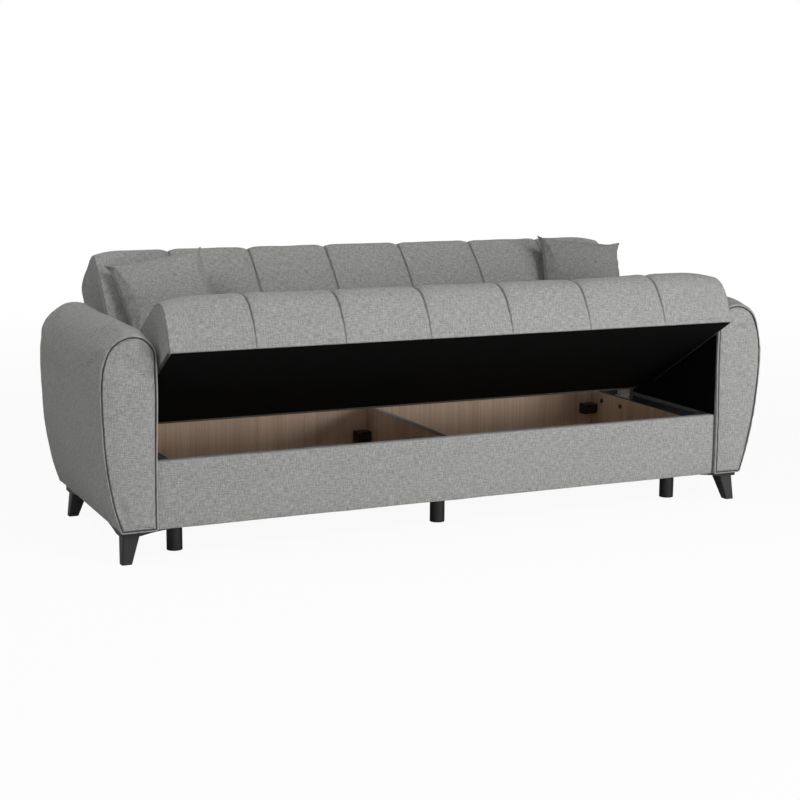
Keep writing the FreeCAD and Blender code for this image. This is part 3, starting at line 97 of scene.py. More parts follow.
# Shader maths
class Wire:
    """One output socket of a shader, with Python's operators as Math nodes."""

    def __init__(self, shader: "Shader", socket: bpy.types.NodeSocket) -> None:
        """Wrap a socket.

        Args:
            shader: The shader that the socket belongs to.
            socket: The output socket.
        """
        self.shader = shader
        self.socket = socket

    def _math(self, operation: str, first: Any, second: Any) -> "Wire":
        """A Math node of two values.

        Args:
            operation: Name of the operation.
            first: First value or wire.
            second: Second value or wire.

        Returns:
            The node's output.
        """
        return self.shader.node("ShaderNodeMath", {"operation": operation}, {0: first, 1: second})

    def __add__(self, other: Any) -> "Wire":
        """Sum."""
        return self._math("ADD", self, other)

    def __radd__(self, other: Any) -> "Wire":
        """Sum, reflected."""
        return self._math("ADD", other, self)

    def __sub__(self, other: Any) -> "Wire":
        """Difference."""
        return self._math("SUBTRACT", self, other)

    def __rsub__(self, other: Any) -> "Wire":
        """Difference, reflected."""
        return self._math("SUBTRACT", other, self)

    def __mul__(self, other: Any) -> "Wire":
        """Product."""
        return self._math("MULTIPLY", self, other)

    def __rmul__(self, other: Any) -> "Wire":
        """Product, reflected."""
        return self._math("MULTIPLY", other, self)

    def above(self, edge: float, soft: float) -> "Wire":
        """Smooth step from 0 to 1 about an edge.

        Args:
            edge: Value where the step is half way.
            soft: Half width of the step.

        Returns:
            The stepped value.
        """
        settings = {"interpolation_type": "SMOOTHSTEP"}
        values = {0: self, 1: edge - soft, 2: edge + soft, 3: 0.0, 4: 1.0}
        return self.shader.node("ShaderNodeMapRange", settings, values)


class Shader:
    """A node material that is written with Python expressions."""

    def __init__(self, name: str) -> None:
        """Start an empty material.

        Args:
            name: The material's name.
        """
        self.material = bpy.data.materials.new(name)
        self.material.use_nodes = True
        self.tree = self.material.node_tree
        self.tree.nodes.clear()

    def node(
        self,
        kind: str,
        settings: dict[str, Any] | None = None,
        values: dict[Any, Any] | None = None,
        output: int | str | None = 0,
    ) -> Wire | None:
        """Add a node.

        Args:
            kind: Type name of the node.
            settings: Its properties, which are set first.
            values: Values or wires of its sockets, by name or number.
            output: The output to return, or None.

        Returns:
            One output of the node.
        """
        made = self.tree.nodes.new(kind)
        for key, value in (settings or {}).items():
            setattr(made, key, value)
        for key, value in (values or {}).items():
            if isinstance(value, Wire):
                self.tree.links.new(value.socket, made.inputs[key])
            else:
                made.inputs[key].default_value = value
        return None if output is None else Wire(self, made.outputs[output])

    def place(self, scale: Sequence[float], turn: float = 0.0, uv: bool = False) -> Wire:
        """Coordinates on the object or on its weave map, in metres, times a scale.

        Args:
            scale: Factors along the three axes.
            turn: Turn about Z in degrees.
            uv: Whether to read the weave map.

        Returns:
            The coordinates.
        """
        if uv:
            start = self.node("ShaderNodeUVMap", {"uv_map": WEAVE})
        else:
            start = self.node("ShaderNodeTexCoord", output="Object")
        values = {"Vector": start, "Scale": scale, "Rotation": (0, 0, math.radians(turn))}
        return self.node("ShaderNodeMapping", None, values)

    def noise(self, where: Wire, detail: float = 2.0, rough: float = 0.5) -> Wire:
        """Noise from about 0 to 1 with a grain of one unit.

        Args:
            where: Coordinates.
            detail: Finer layers.
            rough: Strength of the finer layers.

        Returns:
            The noise.
        """
        values = {"Vector": where, "Scale": 1.0, "Detail": detail, "Roughness": rough}
        return self.node("ShaderNodeTexNoise", None, values)

    def part(self, where: Wire, axis: str) -> Wire:
        """One component of a vector.

        Args:
            where: The vector.
            axis: X, Y or Z.

        Returns:
            The component.
        """
        return self.node("ShaderNodeSeparateXYZ", None, {0: where}, axis)

    def blend(self, share: Any, low: Sequence[float], high: Sequence[float]) -> Wire:
        """Mix of two colours.

        Args:
            share: 0 for the first colour, 1 for the second.
            low: First colour, or a wire.
            high: Second colour, or a wire.

        Returns:
            The mixed colour.
        """
        settings = {"data_type": "RGBA"}
        colours = [c if isinstance(c, Wire) else (*c, 1.0) for c in (low, high)]
        values = {0: share, 6: colours[0], 7: colours[1]}
        return self.node("ShaderNodeMix", settings, values, 2)

    def bump(self, height: Wire, distance: float, strength: float = 1.0) -> Wire:
        """Bumped normal.

        Args:
            height: Height from 0 to 1.
            distance: Metres that a height of 1 stands for.
            strength: Strength of the bump.

        Returns:
            The normal.
        """
        values = {"Height": height, "Distance": distance, "Strength": strength}
        return self.node("ShaderNodeBump", None, values)

    def surface(self, **values: Any) -> bpy.types.Material:
        """Close the material with a Principled shader.

        Args:
            **values: Its sockets, with underscores for spaces.

        Returns:
            The material.
        """
        sockets = {key.replace("_", " "): value for key, value in values.items()}
        bsdf = self.node("ShaderNodeBsdfPrincipled", None, sockets)
        self.node("ShaderNodeOutputMaterial", None, {"Surface": bsdf}, None)
        return self.material


# Finishes
@dataclass(frozen=True)
class Linen:
    """Heathered plain weave with slubs along both threads."""

    name: str
    dark: tuple[float, float, float]
    light: tuple[float, float, float]
    slub_length: float = 0.020
    slub_width: float = 0.0031
    thread: float = 0.0012
    contrast: float = 1.05

    def build(self) -> bpy.types.Material:
        """Make the material.

        Returns:
            The material.
        """
        s = Shader(self.name)
        along, across = 1 / self.slub_length, 1 / self.slub_width
        weft = s.noise(s.place((along, across, 1), uv=True), 3.0, 0.62)
        warp = s.noise(s.place((across, along, 1), uv=True), 3.0, 0.62)
        fine = s.noise(s.place((1 / self.thread,) * 3, uv=True), 1.0)
        cloud = s.noise(s.place((5, 5, 5), uv=True), 2.0)
        spread = 1.9 * self.contrast
        tone = 0.5 + (weft - 0.5) * spread + (warp - 0.5) * spread
        tone = tone + (fine - 0.5) * 0.35 + (cloud - 0.5) * 0.16
        tone = tone.above(0.5, 0.62)
        turns = 2 * math.pi / self.thread
        where = s.place((turns, turns, 1), uv=True)
        rows = s.node("ShaderNodeMath", {"operation": "SINE"}, {0: s.part(where, "X")})
        lines = s.node("ShaderNodeMath", {"operation": "SINE"}, {0: s.part(where, "Y")})
        height = rows * lines * 0.3 + weft * 0.5 + warp * 0.5 + fine * 0.2
        # Painted shade: cloth in seams, hems and on underside lips is darkened towards 0.22 of the dark
        # tone by the seam attribute
        seam = s.node("ShaderNodeAttribute", {"attribute_name": SEAM}, output="Fac")
        open_cloth = s.blend(tone, self.dark, self.light)
        return s.surface(
            Base_Color=s.blend(seam, open_cloth, tuple(c * 0.22 for c in self.dark)),
            Roughness=0.86 + fine * 0.12,
            Specular_IOR_Level=0.25,
            Sheen_Weight=0.12,
            Sheen_Roughness=0.5,
            Normal=s.bump(height, 0.0007, 0.8),
        )


@dataclass(frozen=True)
class PlainCloth:
    """Felted cloth in one dark tone, with a fine pressed grain."""

    name: str
    colour: tuple[float, float, float]
    lift: tuple[float, float, float]
    grain: float = 0.002

    def build(self) -> bpy.types.Material:
        """Make the material.

        Returns:
            The material.
        """
        s = Shader(self.name)
        fibre = s.noise(s.place((1 / self.grain,) * 3), 3.0, 0.7)
        cloud = s.noise(s.place((7, 7, 7)), 2.0)
        dots = s.node(
            "ShaderNodeTexVoronoi",
            {"feature": "SMOOTH_F1"},
            {"Vector": s.place((420, 420, 420)), "Scale": 1.0, "Randomness": 0.35},
        )
        tone = fibre * 0.7 + cloud * 0.3
        return s.surface(
            Base_Color=s.blend(tone, self.colour, self.lift),
            Roughness=0.8 + fibre * 0.18,
            Specular_IOR_Level=0.06,
            Normal=s.bump(fibre * 0.5 + dots * 0.5, 0.0005, 0.6),
        )


@dataclass(frozen=True)
class Grain:
    """Sawn or printed wood with its grain along one axis of the object."""

    name: str
    dark: tuple[float, float, float]
    light: tuple[float, float, float]
    axis: str = "Z"
    line: float = 0.0035
    length: float = 0.35
    rings: float = 0.5
    roughness: float = 0.5
    relief: float = 0.0002

    def build(self) -> bpy.types.Material:
        """Make the material.

        Returns:
            The material.
        """
        s = Shader(self.name)

        def stretched(width: float, length: float) -> Wire:
            """Coordinates drawn out along the grain."""
            scale = [1 / width] * 3
            scale["XYZ".index(self.axis)] = 1 / length
            return s.place(scale)

        fine = s.noise(stretched(self.line, self.length), 4.0, 0.6)
        wide = s.noise(stretched(self.line * 9, self.length * 2.5), 3.0, 0.55)
        pores = s.noise(stretched(self.line * 0.35, self.length * 0.05), 2.0).above(0.64, 0.05)
        tone = (fine - 0.5) * 1.5 + (wide - 0.5) * self.rings * 2.2 + 0.5
        colour = s.blend(tone.above(0.5, 0.6), self.dark, self.light)
        colour = s.blend(pores * 0.35, colour, tuple(c * 0.55 for c in self.dark))
        return s.surface(
            Base_Color=colour,
            Roughness=self.roughness + (fine - 0.5) * 0.16,
            Normal=s.bump(fine - pores * 0.6, self.relief, 0.7),
        )


@dataclass(frozen=True)
class Moulded:
    """Moulded plastic with a fine spark grain."""

    name: str
    colour: tuple[float, float, float]
    lift: tuple[float, float, float]
    roughness: float = 0.42
    grain: float = 0.0009

    def build(self) -> bpy.types.Material:
        """Make the material.

        Returns:
            The material.
        """
        s = Shader(self.name)
        spark = s.noise(s.place((1 / self.grain,) * 3), 2.0, 0.6)
        cloud = s.noise(s.place((18, 18, 18)), 3.0)
        scuff = s.noise(s.place((90, 90, 12)), 4.0, 0.7).above(0.68, 0.07)
        return s.surface(
            Base_Color=s.blend(cloud * 0.7 + scuff * 0.3, self.colour, self.lift),
            Roughness=self.roughness + (spark - 0.5) * 0.2 + scuff * 0.12,
            Specular_IOR_Level=0.3,
            Normal=s.bump(spark, 0.00008, 0.6),
        )


@dataclass(frozen=True)
class Metal:
    """Steel with drawn lines along its length and slight stains."""

    name: str
    colour: tuple[float, float, float]
    stain: tuple[float, float, float]
    metallic: float = 1.0
    roughness: float = 0.34

    def build(self) -> bpy.types.Material:
        """Make the material.

        Returns:
            The material.
        """
        s = Shader(self.name)
        drawn = s.noise(s.place((900, 30, 900)), 3.0, 0.6)
        cloud = s.noise(s.place((60, 60, 60)), 4.0, 0.65)
        return s.surface(
            Base_Color=s.blend(cloud.above(0.55, 0.25), self.colour, self.stain),
            Metallic=self.metallic,
            Roughness=self.roughness + (drawn - 0.5) * 0.2 + cloud * 0.08,
            Normal=s.bump(drawn, 0.00004, 0.6),
        )


class Finishes:
    """Every finish of the sofa, made once."""

    def __init__(self) -> None:
        """Make all materials."""
        self.linen = Linen("grey_linen", (0.215, 0.215, 0.208), (0.405, 0.405, 0.394)).build()
        self.pillow = Linen(
            "pillow_linen", (0.160, 0.160, 0.154), (0.306, 0.306, 0.297)
        ).build()
        self.black_cloth = PlainCloth("black_cloth", (0.0012,) * 3, (0.003,) * 3).build()
        self.piping = PlainCloth(
            "piping_cloth", (0.042, 0.043, 0.043), (0.095, 0.096, 0.095), 0.0012
        ).build()
        self.felt = PlainCloth("foam_felt", (0.45, 0.43, 0.37), (0.68, 0.65, 0.56), 0.004).build()
        # The laminate's colours are set lighter than the wood's own, a painted lift that makes up for the
        # dim light inside the box
        self.laminate = Grain("laminate", (0.53, 0.385, 0.28), (0.80, 0.60, 0.45)).build()
        self.timber = Grain(
            "timber", (0.33, 0.21, 0.11), (0.56, 0.40, 0.24), "X", 0.006, 0.5, 0.8, 0.62, 0.0003
        ).build()
        self.slate = Moulded("slate_edge", (0.010, 0.011, 0.013), (0.022, 0.024, 0.028), 0.5).build()
        self.plastic = Moulded("black_plastic", (0.010, 0.010, 0.0105), (0.019, 0.019, 0.020)).build()
        self.zinc = Metal("zinc_steel", (0.34, 0.335, 0.325), (0.20, 0.197, 0.19)).build()
        self.dark_steel = Metal("dark_steel", (0.05, 0.05, 0.052), (0.09, 0.088, 0.085), 0.8).build()


# Mesh helpers
def deselect() -> None:
    """Leave every object unselected and nothing in edit mode."""
    if bpy.context.mode != "OBJECT":
        bpy.ops.object.mode_set(mode="OBJECT")
    bpy.ops.object.select_all(action="DESELECT")


def only(piece: bpy.types.Object) -> None:
    """Select one object alone and make it active.

    Args:
        piece: The object.
    """
    deselect()
    piece.select_set(True)
    bpy.context.view_layer.objects.active = piece


def apply_all(piece: bpy.types.Object) -> None:
    """Apply every modifier of a piece.

    Args:
        piece: The object.
    """
    only(piece)
    for modifier in list(piece.modifiers):
        bpy.ops.object.modifier_apply(modifier=modifier.name)


def modify(piece: bpy.types.Object, kind: str, **values: Any) -> None:
    """Add a modifier and apply it.

    Args:
        piece: The object.
        kind: Type of the modifier.
        **values: Its settings.
    """
    modifier = piece.modifiers.new(kind.title(), kind)
    for key, value in values.items():
        setattr(modifier, key, value)
    apply_all(piece)


def smooth(piece: bpy.types.Object, angle: float = 35.0) -> None:
    """Shade smooth, with edges sharper than an angle kept.

    Args:
        piece: The object.
        angle: The angle in degrees.
    """
    only(piece)
    bpy.ops.object.shade_smooth_by_angle(angle=math.radians(angle))


def enclosed(points: Array, faces: Sequence[Sequence[int]]) -> float:
    """Volume inside a closed surface.

    Args:
        points: Corners, one row each.
        faces: Corner numbers of each face.

    Returns:
        The volume, negative where the faces point inwards.
    """
    fans = [(f[0], f[i], f[i + 1]) for f in faces for i in range(1, len(f) - 1)]
    a, b, c = (points[np.array(fans)[:, i]] for i in range(3))
    return float(np.einsum("ij,ij->i", a, np.cross(b, c)).sum() / 6)


def soft_mesh(
    name: str, points: Array, faces: Sequence[Sequence[int]], weave: Array
) -> bpy.types.Object:
    """A cloth surface from its points, faces and flat cloth coordinates.

    Args:
        name: Name of the piece.
        points: Corners, one row each.
        faces: Corner numbers of each face.
        weave: Cloth coordinates in metres, one row for each face corner.

    Returns:
        The object.
    """
    mesh = bpy.data.meshes.new(name)
    mesh.from_pydata(points.tolist(), [], faces)
    layer = mesh.uv_layers.new(name=WEAVE)
    layer.data.foreach_set("uv", np.asarray(weave, np.float32).ravel())
    if enclosed(points, faces) < 0:
        mesh.flip_normals()
    mesh.update()
    piece = bpy.data.objects.new(name, mesh)
    bpy.context.scene.collection.objects.link(piece)
    return piece


def coordinates(piece: bpy.types.Object) -> Array:
    """Corners of a piece's mesh.

    Args:
        piece: The object.

    Returns:
        One row for each corner.
    """
    flat = np.zeros(len(piece.data.vertices) * 3, np.float32)
    piece.data.vertices.foreach_get("co", flat)
    return flat.reshape(-1, 3).astype(float)


def set_coordinates(piece: bpy.types.Object, points: Array) -> None:
    """Move the corners of a piece's mesh.

    Args:
        piece: The object.
        points: One row for each corner.
    """
    piece.data.vertices.foreach_set("co", np.asarray(points, np.float32).ravel())
    piece.data.update()


def ripple(points: Array, wave: float, seed: int) -> Array:
    """Smooth random field of about -1 to 1.

    Args:
        points: Places, one row each.
        wave: Typical wave length in metres.
        seed: Seed of the random waves.

    Returns:
        One value for each place.
    """
    rng = np.random.default_rng(seed)
    count = 14
    ways = rng.normal(size=(count, points.shape[1]))
    ways /= np.linalg.norm(ways, axis=1)[:, None]
    rate = 2 * np.pi / wave * rng.uniform(0.6, 1.6, count)
    phase = rng.uniform(0, 2 * np.pi, count)
    field = np.sin(points @ (ways * rate[:, None]).T + phase).sum(axis=1)
    return field / math.sqrt(count / 2) / 2


def push_out(piece: bpy.types.Object, amount: Callable[[Array, Array], Array]) -> None:
    """Move each corner along its normal.

    Args:
        piece: The object.
        amount: Gives the way out in metres from the corners and their normals.
    """
    points = coordinates(piece)
    flat = np.zeros(len(points) * 3, np.float32)
    piece.data.vertices.foreach_get("normal", flat)
    normals = flat.reshape(-1, 3).astype(float)
    set_coordinates(piece, points + normals * amount(points, normals)[:, None])


@dataclass(frozen=True)
class Inflation:
    """How Blender's cloth fills a sewn cover."""

    pressure: float = 4.0
    grow: float = 0.02
    cap: float = 0.014
    frames: int = 20
    stiffness: float = 15.0

    def run(self, piece: bpy.types.Object, pins: Array) -> None:
        """Simulate the cover and keep its last shape.

        Args:
            piece: The cover.
            pins: 1 for each corner that is sewn down, down to 0 for a free one.
        """
        start = coordinates(piece)
        group = piece.vertex_groups.new(name="sewn")
        for value in np.unique(pins[pins > 0]):
            group.add([int(i) for i in np.flatnonzero(pins == value)], float(value), "REPLACE")
        modifier = piece.modifiers.new("Cloth", "CLOTH")
        cloth = modifier.settings
        cloth.quality = 5
        cloth.mass = 0.3
        cloth.tension_stiffness = cloth.compression_stiffness = self.stiffness
        cloth.shear_stiffness = self.stiffness / 2
        cloth.bending_stiffness = 2.0
        cloth.use_pressure = True
        cloth.uniform_pressure_force = self.pressure
        cloth.vertex_group_mass = group.name
        cloth.shrink_min = -self.grow
        cloth.shrink_max = -self.grow
        cloth.effector_weights.gravity = 0.0
        modifier.point_cache.frame_start = 1
        modifier.point_cache.frame_end = self.frames
        for step in range(1, self.frames + 1):
            bpy.context.scene.frame_set(step)
        shown = piece.evaluated_get(bpy.context.evaluated_depsgraph_get())
        flat = np.zeros(len(start) * 3, np.float32)
        shown.data.vertices.foreach_get("co", flat)
        moved = flat.reshape(-1, 3) - start
        length = np.linalg.norm(moved, axis=1)
        limit = np.minimum(1.0, self.cap / np.maximum(length, 1e-9))
        piece.modifiers.remove(modifier)
        piece.vertex_groups.remove(group)
        bpy.context.scene.frame_set(1)
        set_coordinates(piece, start + moved * limit[:, None])


class Outline:
    """Closed outline of lines and arcs in a plane, with a fixed number of corners."""

    def __init__(self, start: Sequence[float]) -> None:
        """Begin at a corner.

        Args:
            start: The first corner.
        """
        self.points = [np.array(start, float)]

    def line(self, end: Sequence[float], count: int) -> "Outline":
        """Straight run.

        Args:
            end: Its end.
            count: Number of edges that it is divided into.

        Returns:
            The outline.
        """
        start = self.points[-1]
        way = np.array(end, float) - start
        self.points += [start + way * share for share in np.linspace(0, 1, count + 1)[1:]]
        return self

    def turn(self, centre: Sequence[float], degrees: float, count: int) -> "Outline":
        """Arc about a centre.

        Args:
            centre: Its centre.
            degrees: Angle that it turns by, anticlockwise.
            count: Number of edges that it is divided into.

        Returns:
            The outline.
        """
        middle = np.array(centre, float)
        across, above = self.points[-1] - middle
        for angle in np.radians(np.linspace(0, degrees, count + 1)[1:]):
            cos, sin = math.cos(angle), math.sin(angle)
            self.points.append(middle + (across * cos - above * sin, across * sin + above * cos))
        return self

    def bow(self, rise: float, end: Sequence[float], count: int) -> "Outline":
        """Shallow curve, bowed to the left of its way.

        Args:
            rise: Height of the bow.
            end: Its end.
            count: Number of edges that it is divided into.

        Returns:
            The outline.
        """
        start = self.points[-1]
        way = np.array(end, float) - start
        left = np.array((-way[1], way[0])) / np.linalg.norm(way)
        for share in np.linspace(0, 1, count + 1)[1:]:
            self.points.append(start + way * share + left * rise * 4 * share * (1 - share))
        return self

    def closed(self) -> Array:
        """Corners of the whole outline, the last joined to the first."""
        return np.array(self.points[:-1])


def drawn_in(ring: Array, inset: float | Array) -> Array:
    """Outline moved inwards.

    Args:
        ring: Corners of an anticlockwise outline.
        inset: How far in, for all corners or each one.

    Returns:
        The corners of the smaller outline.
    """
    ahead = np.roll(ring, -1, axis=0) - np.roll(ring, 1, axis=0)
    ahead /= np.linalg.norm(ahead, axis=1)[:, None]
    inwards = np.stack([-ahead[:, 1], ahead[:, 0]], axis=1)
    return ring + inwards * np.broadcast_to(inset, len(ring))[:, None]


def patch(ring: Array, start: int, width: int) -> tuple[Array, Array]:
    """Grid of four-sided faces that fills a closed outline.

    Args:
        ring: Corners of the outline, an even number of them.
        start: Corner of the outline where the grid's first side begins.
        width: Number of edges on that side and on the one across from it.

    Returns:
        The outline's corner numbers on the grid, -1 inside it, and the grid's places.
    """
    size = len(ring)
    height = size // 2 - width
    order = (start + np.arange(size + 1)) % size
    numbers = np.full((width + 1, height + 1), -1)
    numbers[:, 0] = order[: width + 1]
    numbers[-1, :] = order[width : width + height + 1]
    numbers[::-1, -1] = order[width + height : 2 * width + height + 1]
    numbers[0, ::-1] = order[2 * width + height :]
    u = np.linspace(0, 1, width + 1)[:, None, None]
    v = np.linspace(0, 1, height + 1)[None, :, None]
    low, high = ring[numbers[:, 0]][:, None], ring[numbers[:, -1]][:, None]
    left, right = ring[numbers[0]][None], ring[numbers[-1]][None]
    corners = (1 - u) * ((1 - v) * low[0] + v * high[0]) + u * ((1 - v) * low[-1] + v * high[-1])
    return numbers, (1 - v) * low + v * high + (1 - u) * left + u * right - corners


def length_along(points: Array) -> Array:
    """Distance from the first point to each one, along a line of points."""
    steps = np.linalg.norm(np.diff(points, axis=0), axis=1)
    return np.concatenate([[0.0], np.cumsum(steps)])


def sweep(
    name: str,
    rings: Array,
    flat: tuple[int, int],
    fill: tuple[int, int] = (0, 2),
    loop: bool = False,
) -> bpy.types.Object:
    """Closed cover through a row of rings.

    Args:
        name: Name of the piece.
        rings: Corners by ring and place on the ring.
        flat: The two axes that the end faces' cloth lies along.
        fill: First corner and width of the grid that fills each end face.
        loop: Whether the last ring joins the first, with no end faces.

    Returns:
        The cover. Its first corners are the rings', in order.
    """
    count, size = rings.shape[:2]
    along = length_along(rings.mean(axis=1))
    around = np.stack([length_along(np.vstack([ring, ring[:1]])) for ring in rings])
    points = [rings.reshape(-1, 3)]
    faces: list[tuple[int, ...]] = []
    weave: list[tuple[float, float]] = []
    total = count * size
    if loop:
        step = np.linalg.norm(rings[0].mean(axis=0) - rings[-1].mean(axis=0))
        along = np.append(along, along[-1] + step)
        around = np.vstack([around, around[:1]])
    for i in range(count if loop else count - 1):
        after = (i + 1) % count
        for j in range(size):
            beside = (j + 1) % size
            faces.append((i * size + j, after * size + j, after * size + beside, i * size + beside))
            for row, column in ((i, j), (i + 1, j), (i + 1, j + 1), (i, j + 1)):
                weave.append((along[row], around[row, column]))
    for end in () if loop else (0, count - 1):
        numbers, places = patch(rings[end], *fill)
        inner = numbers < 0
        numbers = np.where(inner, total - 1 + np.cumsum(inner).reshape(inner.shape), numbers + end * size)
        total += int(inner.sum())
        points.append(places[inner])
        for i, j in np.ndindex(numbers.shape[0] - 1, numbers.shape[1] - 1):
            spots = [(i, j), (i + 1, j), (i + 1, j + 1), (i, j + 1)][:: 1 if end == 0 else -1]
            faces.append(tuple(int(numbers[spot]) for spot in spots))
            weave += [tuple(places[spot][list(flat)]) for spot in spots]
    return soft_mesh(name, np.vstack(points), faces, np.array(weave))


def turned(points: Array, degrees: float) -> Array:
    """Points about the hinge line at their place in the room.

    Args:
        points: Places on the hinge axes.
        degrees: Turn about the hinge line.

    Returns:
        The places in the room.
    """
    spin = np.array(Matrix.Rotation(math.radians(degrees), 3, "X"))
    return points @ spin.T + np.array(HINGE)


def dress(piece: bpy.types.Object, material: bpy.types.Material) -> None:
    """Give a piece its material.

    Args:
        piece: The object.
        material: Its material.
    """
    piece.data.materials.clear()
    piece.data.materials.append(material)
    LOG.info("%s: %d faces", piece.name, len(piece.data.polygons))


def mark_seams(piece: bpy.types.Object, depth: Array) -> None:
    """Keep the painted shade at each corner, which darkens its cloth in seams, hems and lips.

    Args:
        piece: The object.
        depth: Painted shade, 0 on open cloth to 1 in a seam, for each corner.
    """
    layer = piece.data.attributes.new(SEAM, "FLOAT", "POINT")
    layer.data.foreach_set("value", np.asarray(np.clip(depth, 0, 1), np.float32))


# Seat and back
@dataclass
class Channelled:
    """A long cushion sewn in seven channels, drawn on the hinge axes."""

    name: str
    body: Body
    half: float
    degrees: float
    notch: float
    cover_half: float
    seam_depth: float = 0.011
    # Strengths of the painted shade in the seams and along the sewn edges at the ends
    seam_shade: float = 0.24
    end_shade: float = 0.6
    shoulder: float = 0.052
    slack: float = 0.005
    end_roll: float = 0.008
    droop: float = 0.023
    droop_length: float = 0.12
    droop_start: float = -0.10
    droop_ramp: float = 0.12
    crest_rise: float = 0.0
    crest_span: tuple[float, float] = (0.45, 0.75)
    crest_depth: tuple[float, float] = (0.30, 0.45)
    inflation: Inflation = Inflation(pressure=4.0, cap=0.012)
    seed: int = 1
    fill: tuple[int, int] = (24, 47)

    def section(self, drawn: float) -> Array:
        """Outline on the hinge axes, drawn in by some depth."""
        raise NotImplementedError

    def softness(self, ring: Array) -> Array:
        """How freely the cloth swells at each corner of the outline, 0 to 1."""
        raise NotImplementedError

    def keep_clear(self, ring: Array) -> Array:
        """Outline of the notched ends, clear of the hinge brackets."""
        raise NotImplementedError

    def recessed(self, ring: Array) -> Array:
        """Outline drawn in where the frame's cloth panel lies."""
        raise NotImplementedError

    def stations(self) -> Array:
        """Places of the rings along X, closer together beside seams and ends.

        Returns:
            The places.
        """
        beside = np.array([0, 2, 5, 10, 17, 26, 38, 53, 71, 92, 114]) / 1000
        places = {0.0}
        for seam in SEAM_X:
            places |= {round(float(seam + way * b), 5) for b in beside for way in (-1, 1)}
        roll = self.end_roll
        ends = [roll * math.sin(math.radians(a)) for a in (0, 22.5, 45, 67.5, 90)]
        ends = [self.half - roll + e for e in ends] + [self.half - 0.02, self.half - 0.035]
        ends += [self.notch, self.notch - 0.002, self.notch - 0.014, 0.84, 0.82]
        ends += [self.cover_half - 0.0005, self.cover_half + 0.0005]
        places |= {round(s * e, 5) for e in ends for s in (-1, 1)}
        places |= {round(0.1362 * i, 5) for i in (-4, -2, 2, 4)}
        return np.array(sorted(places))

    def ring(self, x: float) -> Array:
        """Outline at one place along X.

        Args:
            x: The place.

        Returns:
            Its corners on the hinge axes.
        """
        gap = min(abs(x - seam) for seam in SEAM_X)
        lift = max(0.0, 1 - gap / self.shoulder)
        full = self.section(0.0)
        drawn = self.section(self.seam_depth)
        soft = self.softness(full)[:, None]
        share = 1 - math.sqrt(max(0.0, 1 - lift**2))
        ring = full + (drawn - full) * (share * 0.75 + lift**2 * 0.25) * soft
        channel = 1.0 if gap > self.shoulder else gap / self.shoulder
        ring = drawn_in(ring, self.slack * soft[:, 0] * channel)
        sunk = max(0.0, 1 - (self.half - abs(x)) / self.droop_length) ** 2 * self.droop
        fuller = self.crest_rise * float(np.interp(x, self.crest_span, (0.0, 1.0)))
        sunk = sunk - fuller * np.interp(-ring[:, 0], self.crest_depth, (0.0, 1.0))
        ring[:, 1] -= sunk * np.clip((ring[:, 1] - self.droop_start) / self.droop_ramp, 0, 1)
        rolled = abs(x) - (self.half - self.end_roll)
        if rolled > 0:
            ring = drawn_in(ring, self.end_roll - math.sqrt(max(0.0, self.end_roll**2 - rolled**2)))
        ring = self.recessed(ring) if abs(x) < self.cover_half else ring
        return self.keep_clear(ring) if abs(x) >= self.notch - 1e-6 else ring

    def build(self, material: bpy.types.Material) -> bpy.types.Object:
        """Sew, fill and place the cushion.

        Args:
            material: Its cloth.

        Returns:
            The cushion.
        """
        places = self.stations()
        outlines = np.stack([self.ring(x) for x in places])
        columns = np.broadcast_to(places[:, None, None], outlines.shape[:2] + (1,))
        rings = np.concatenate([columns, outlines], axis=2)
        piece = sweep(self.name, rings, (1, 2), self.fill)
        pins = np.ones(rings.shape[:2])
        gap = np.abs(places[:, None] - np.array(SEAM_X)).min(axis=1)
        free = (gap > 0.004) & (np.abs(places) < self.half - self.end_roll - 0.001)
        free &= np.abs(places) < self.notch - 0.016
        free |= (np.abs(places) > self.notch + 0.01) & (np.abs(places) < self.half - 0.018)
        soft = self.softness(self.section(0.0)) > 0.2
        pins[np.outer(free, soft)] = 0.0
        caps = np.zeros(len(piece.data.vertices) - pins.size)
        self.inflation.run(piece, np.concatenate([pins.ravel(), caps]))
        modify(piece, "SUBSURF", levels=1, render_levels=1, use_limit_surface=False)
        self.stitch(piece)
        set_coordinates(piece, turned(coordinates(piece), self.degrees))
        smooth(piece, 60)
        dress(piece, material)
        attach(piece, self.body.value)
        return piece

    def seam_gap(self, points: Array) -> Array:
        """Distance of each point from the nearest seam along X."""
        return np.abs(points[:, :1] - np.array(SEAM_X)).min(axis=1)

    def stitch(self, piece: bpy.types.Object) -> None:
        """Press in the seams, pucker the cloth beside them and paint shade into the seams.

        Args:
            piece: The cushion on the hinge axes.
        """
        points = coordinates(piece)
        gap = self.seam_gap(points)
        edge = np.abs(np.abs(points[:, 0]) - (self.half - self.end_roll * 0.4))
        inside = self.open_cloth(points)
        groove = np.exp(-((gap / 0.0024) ** 2)) * inside
        welt = np.exp(-((edge / 0.0022) ** 2))
        pucker = np.exp(-gap / 0.022) * ripple(points[:, 1:], 0.034, self.seed) * inside
        folds = ripple(points * (1, 1.4, 1.4), 0.16, self.seed + 1) * inside

        def amount(_: Array, __: Array) -> Array:
            """How far each corner moves out."""
            return -0.0034 * groove - 0.0014 * welt + 0.0011 * pucker + 0.0011 * folds

        push_out(piece, amount)
        # Painted shade in the seams, along the end welts and on the hem's lines
        mark_seams(piece, groove * self.seam_shade + welt * self.end_shade + self.hem(piece))

    def open_cloth(self, points: Array) -> Array:
        """1 where the cushion's cloth is free, 0 under it."""
        raise NotImplementedError

    def hem(self, piece: bpy.types.Object) -> Array:
        """Press in further lines of stitching, and give the painted shade along them."""
        return np.zeros(len(piece.data.vertices))


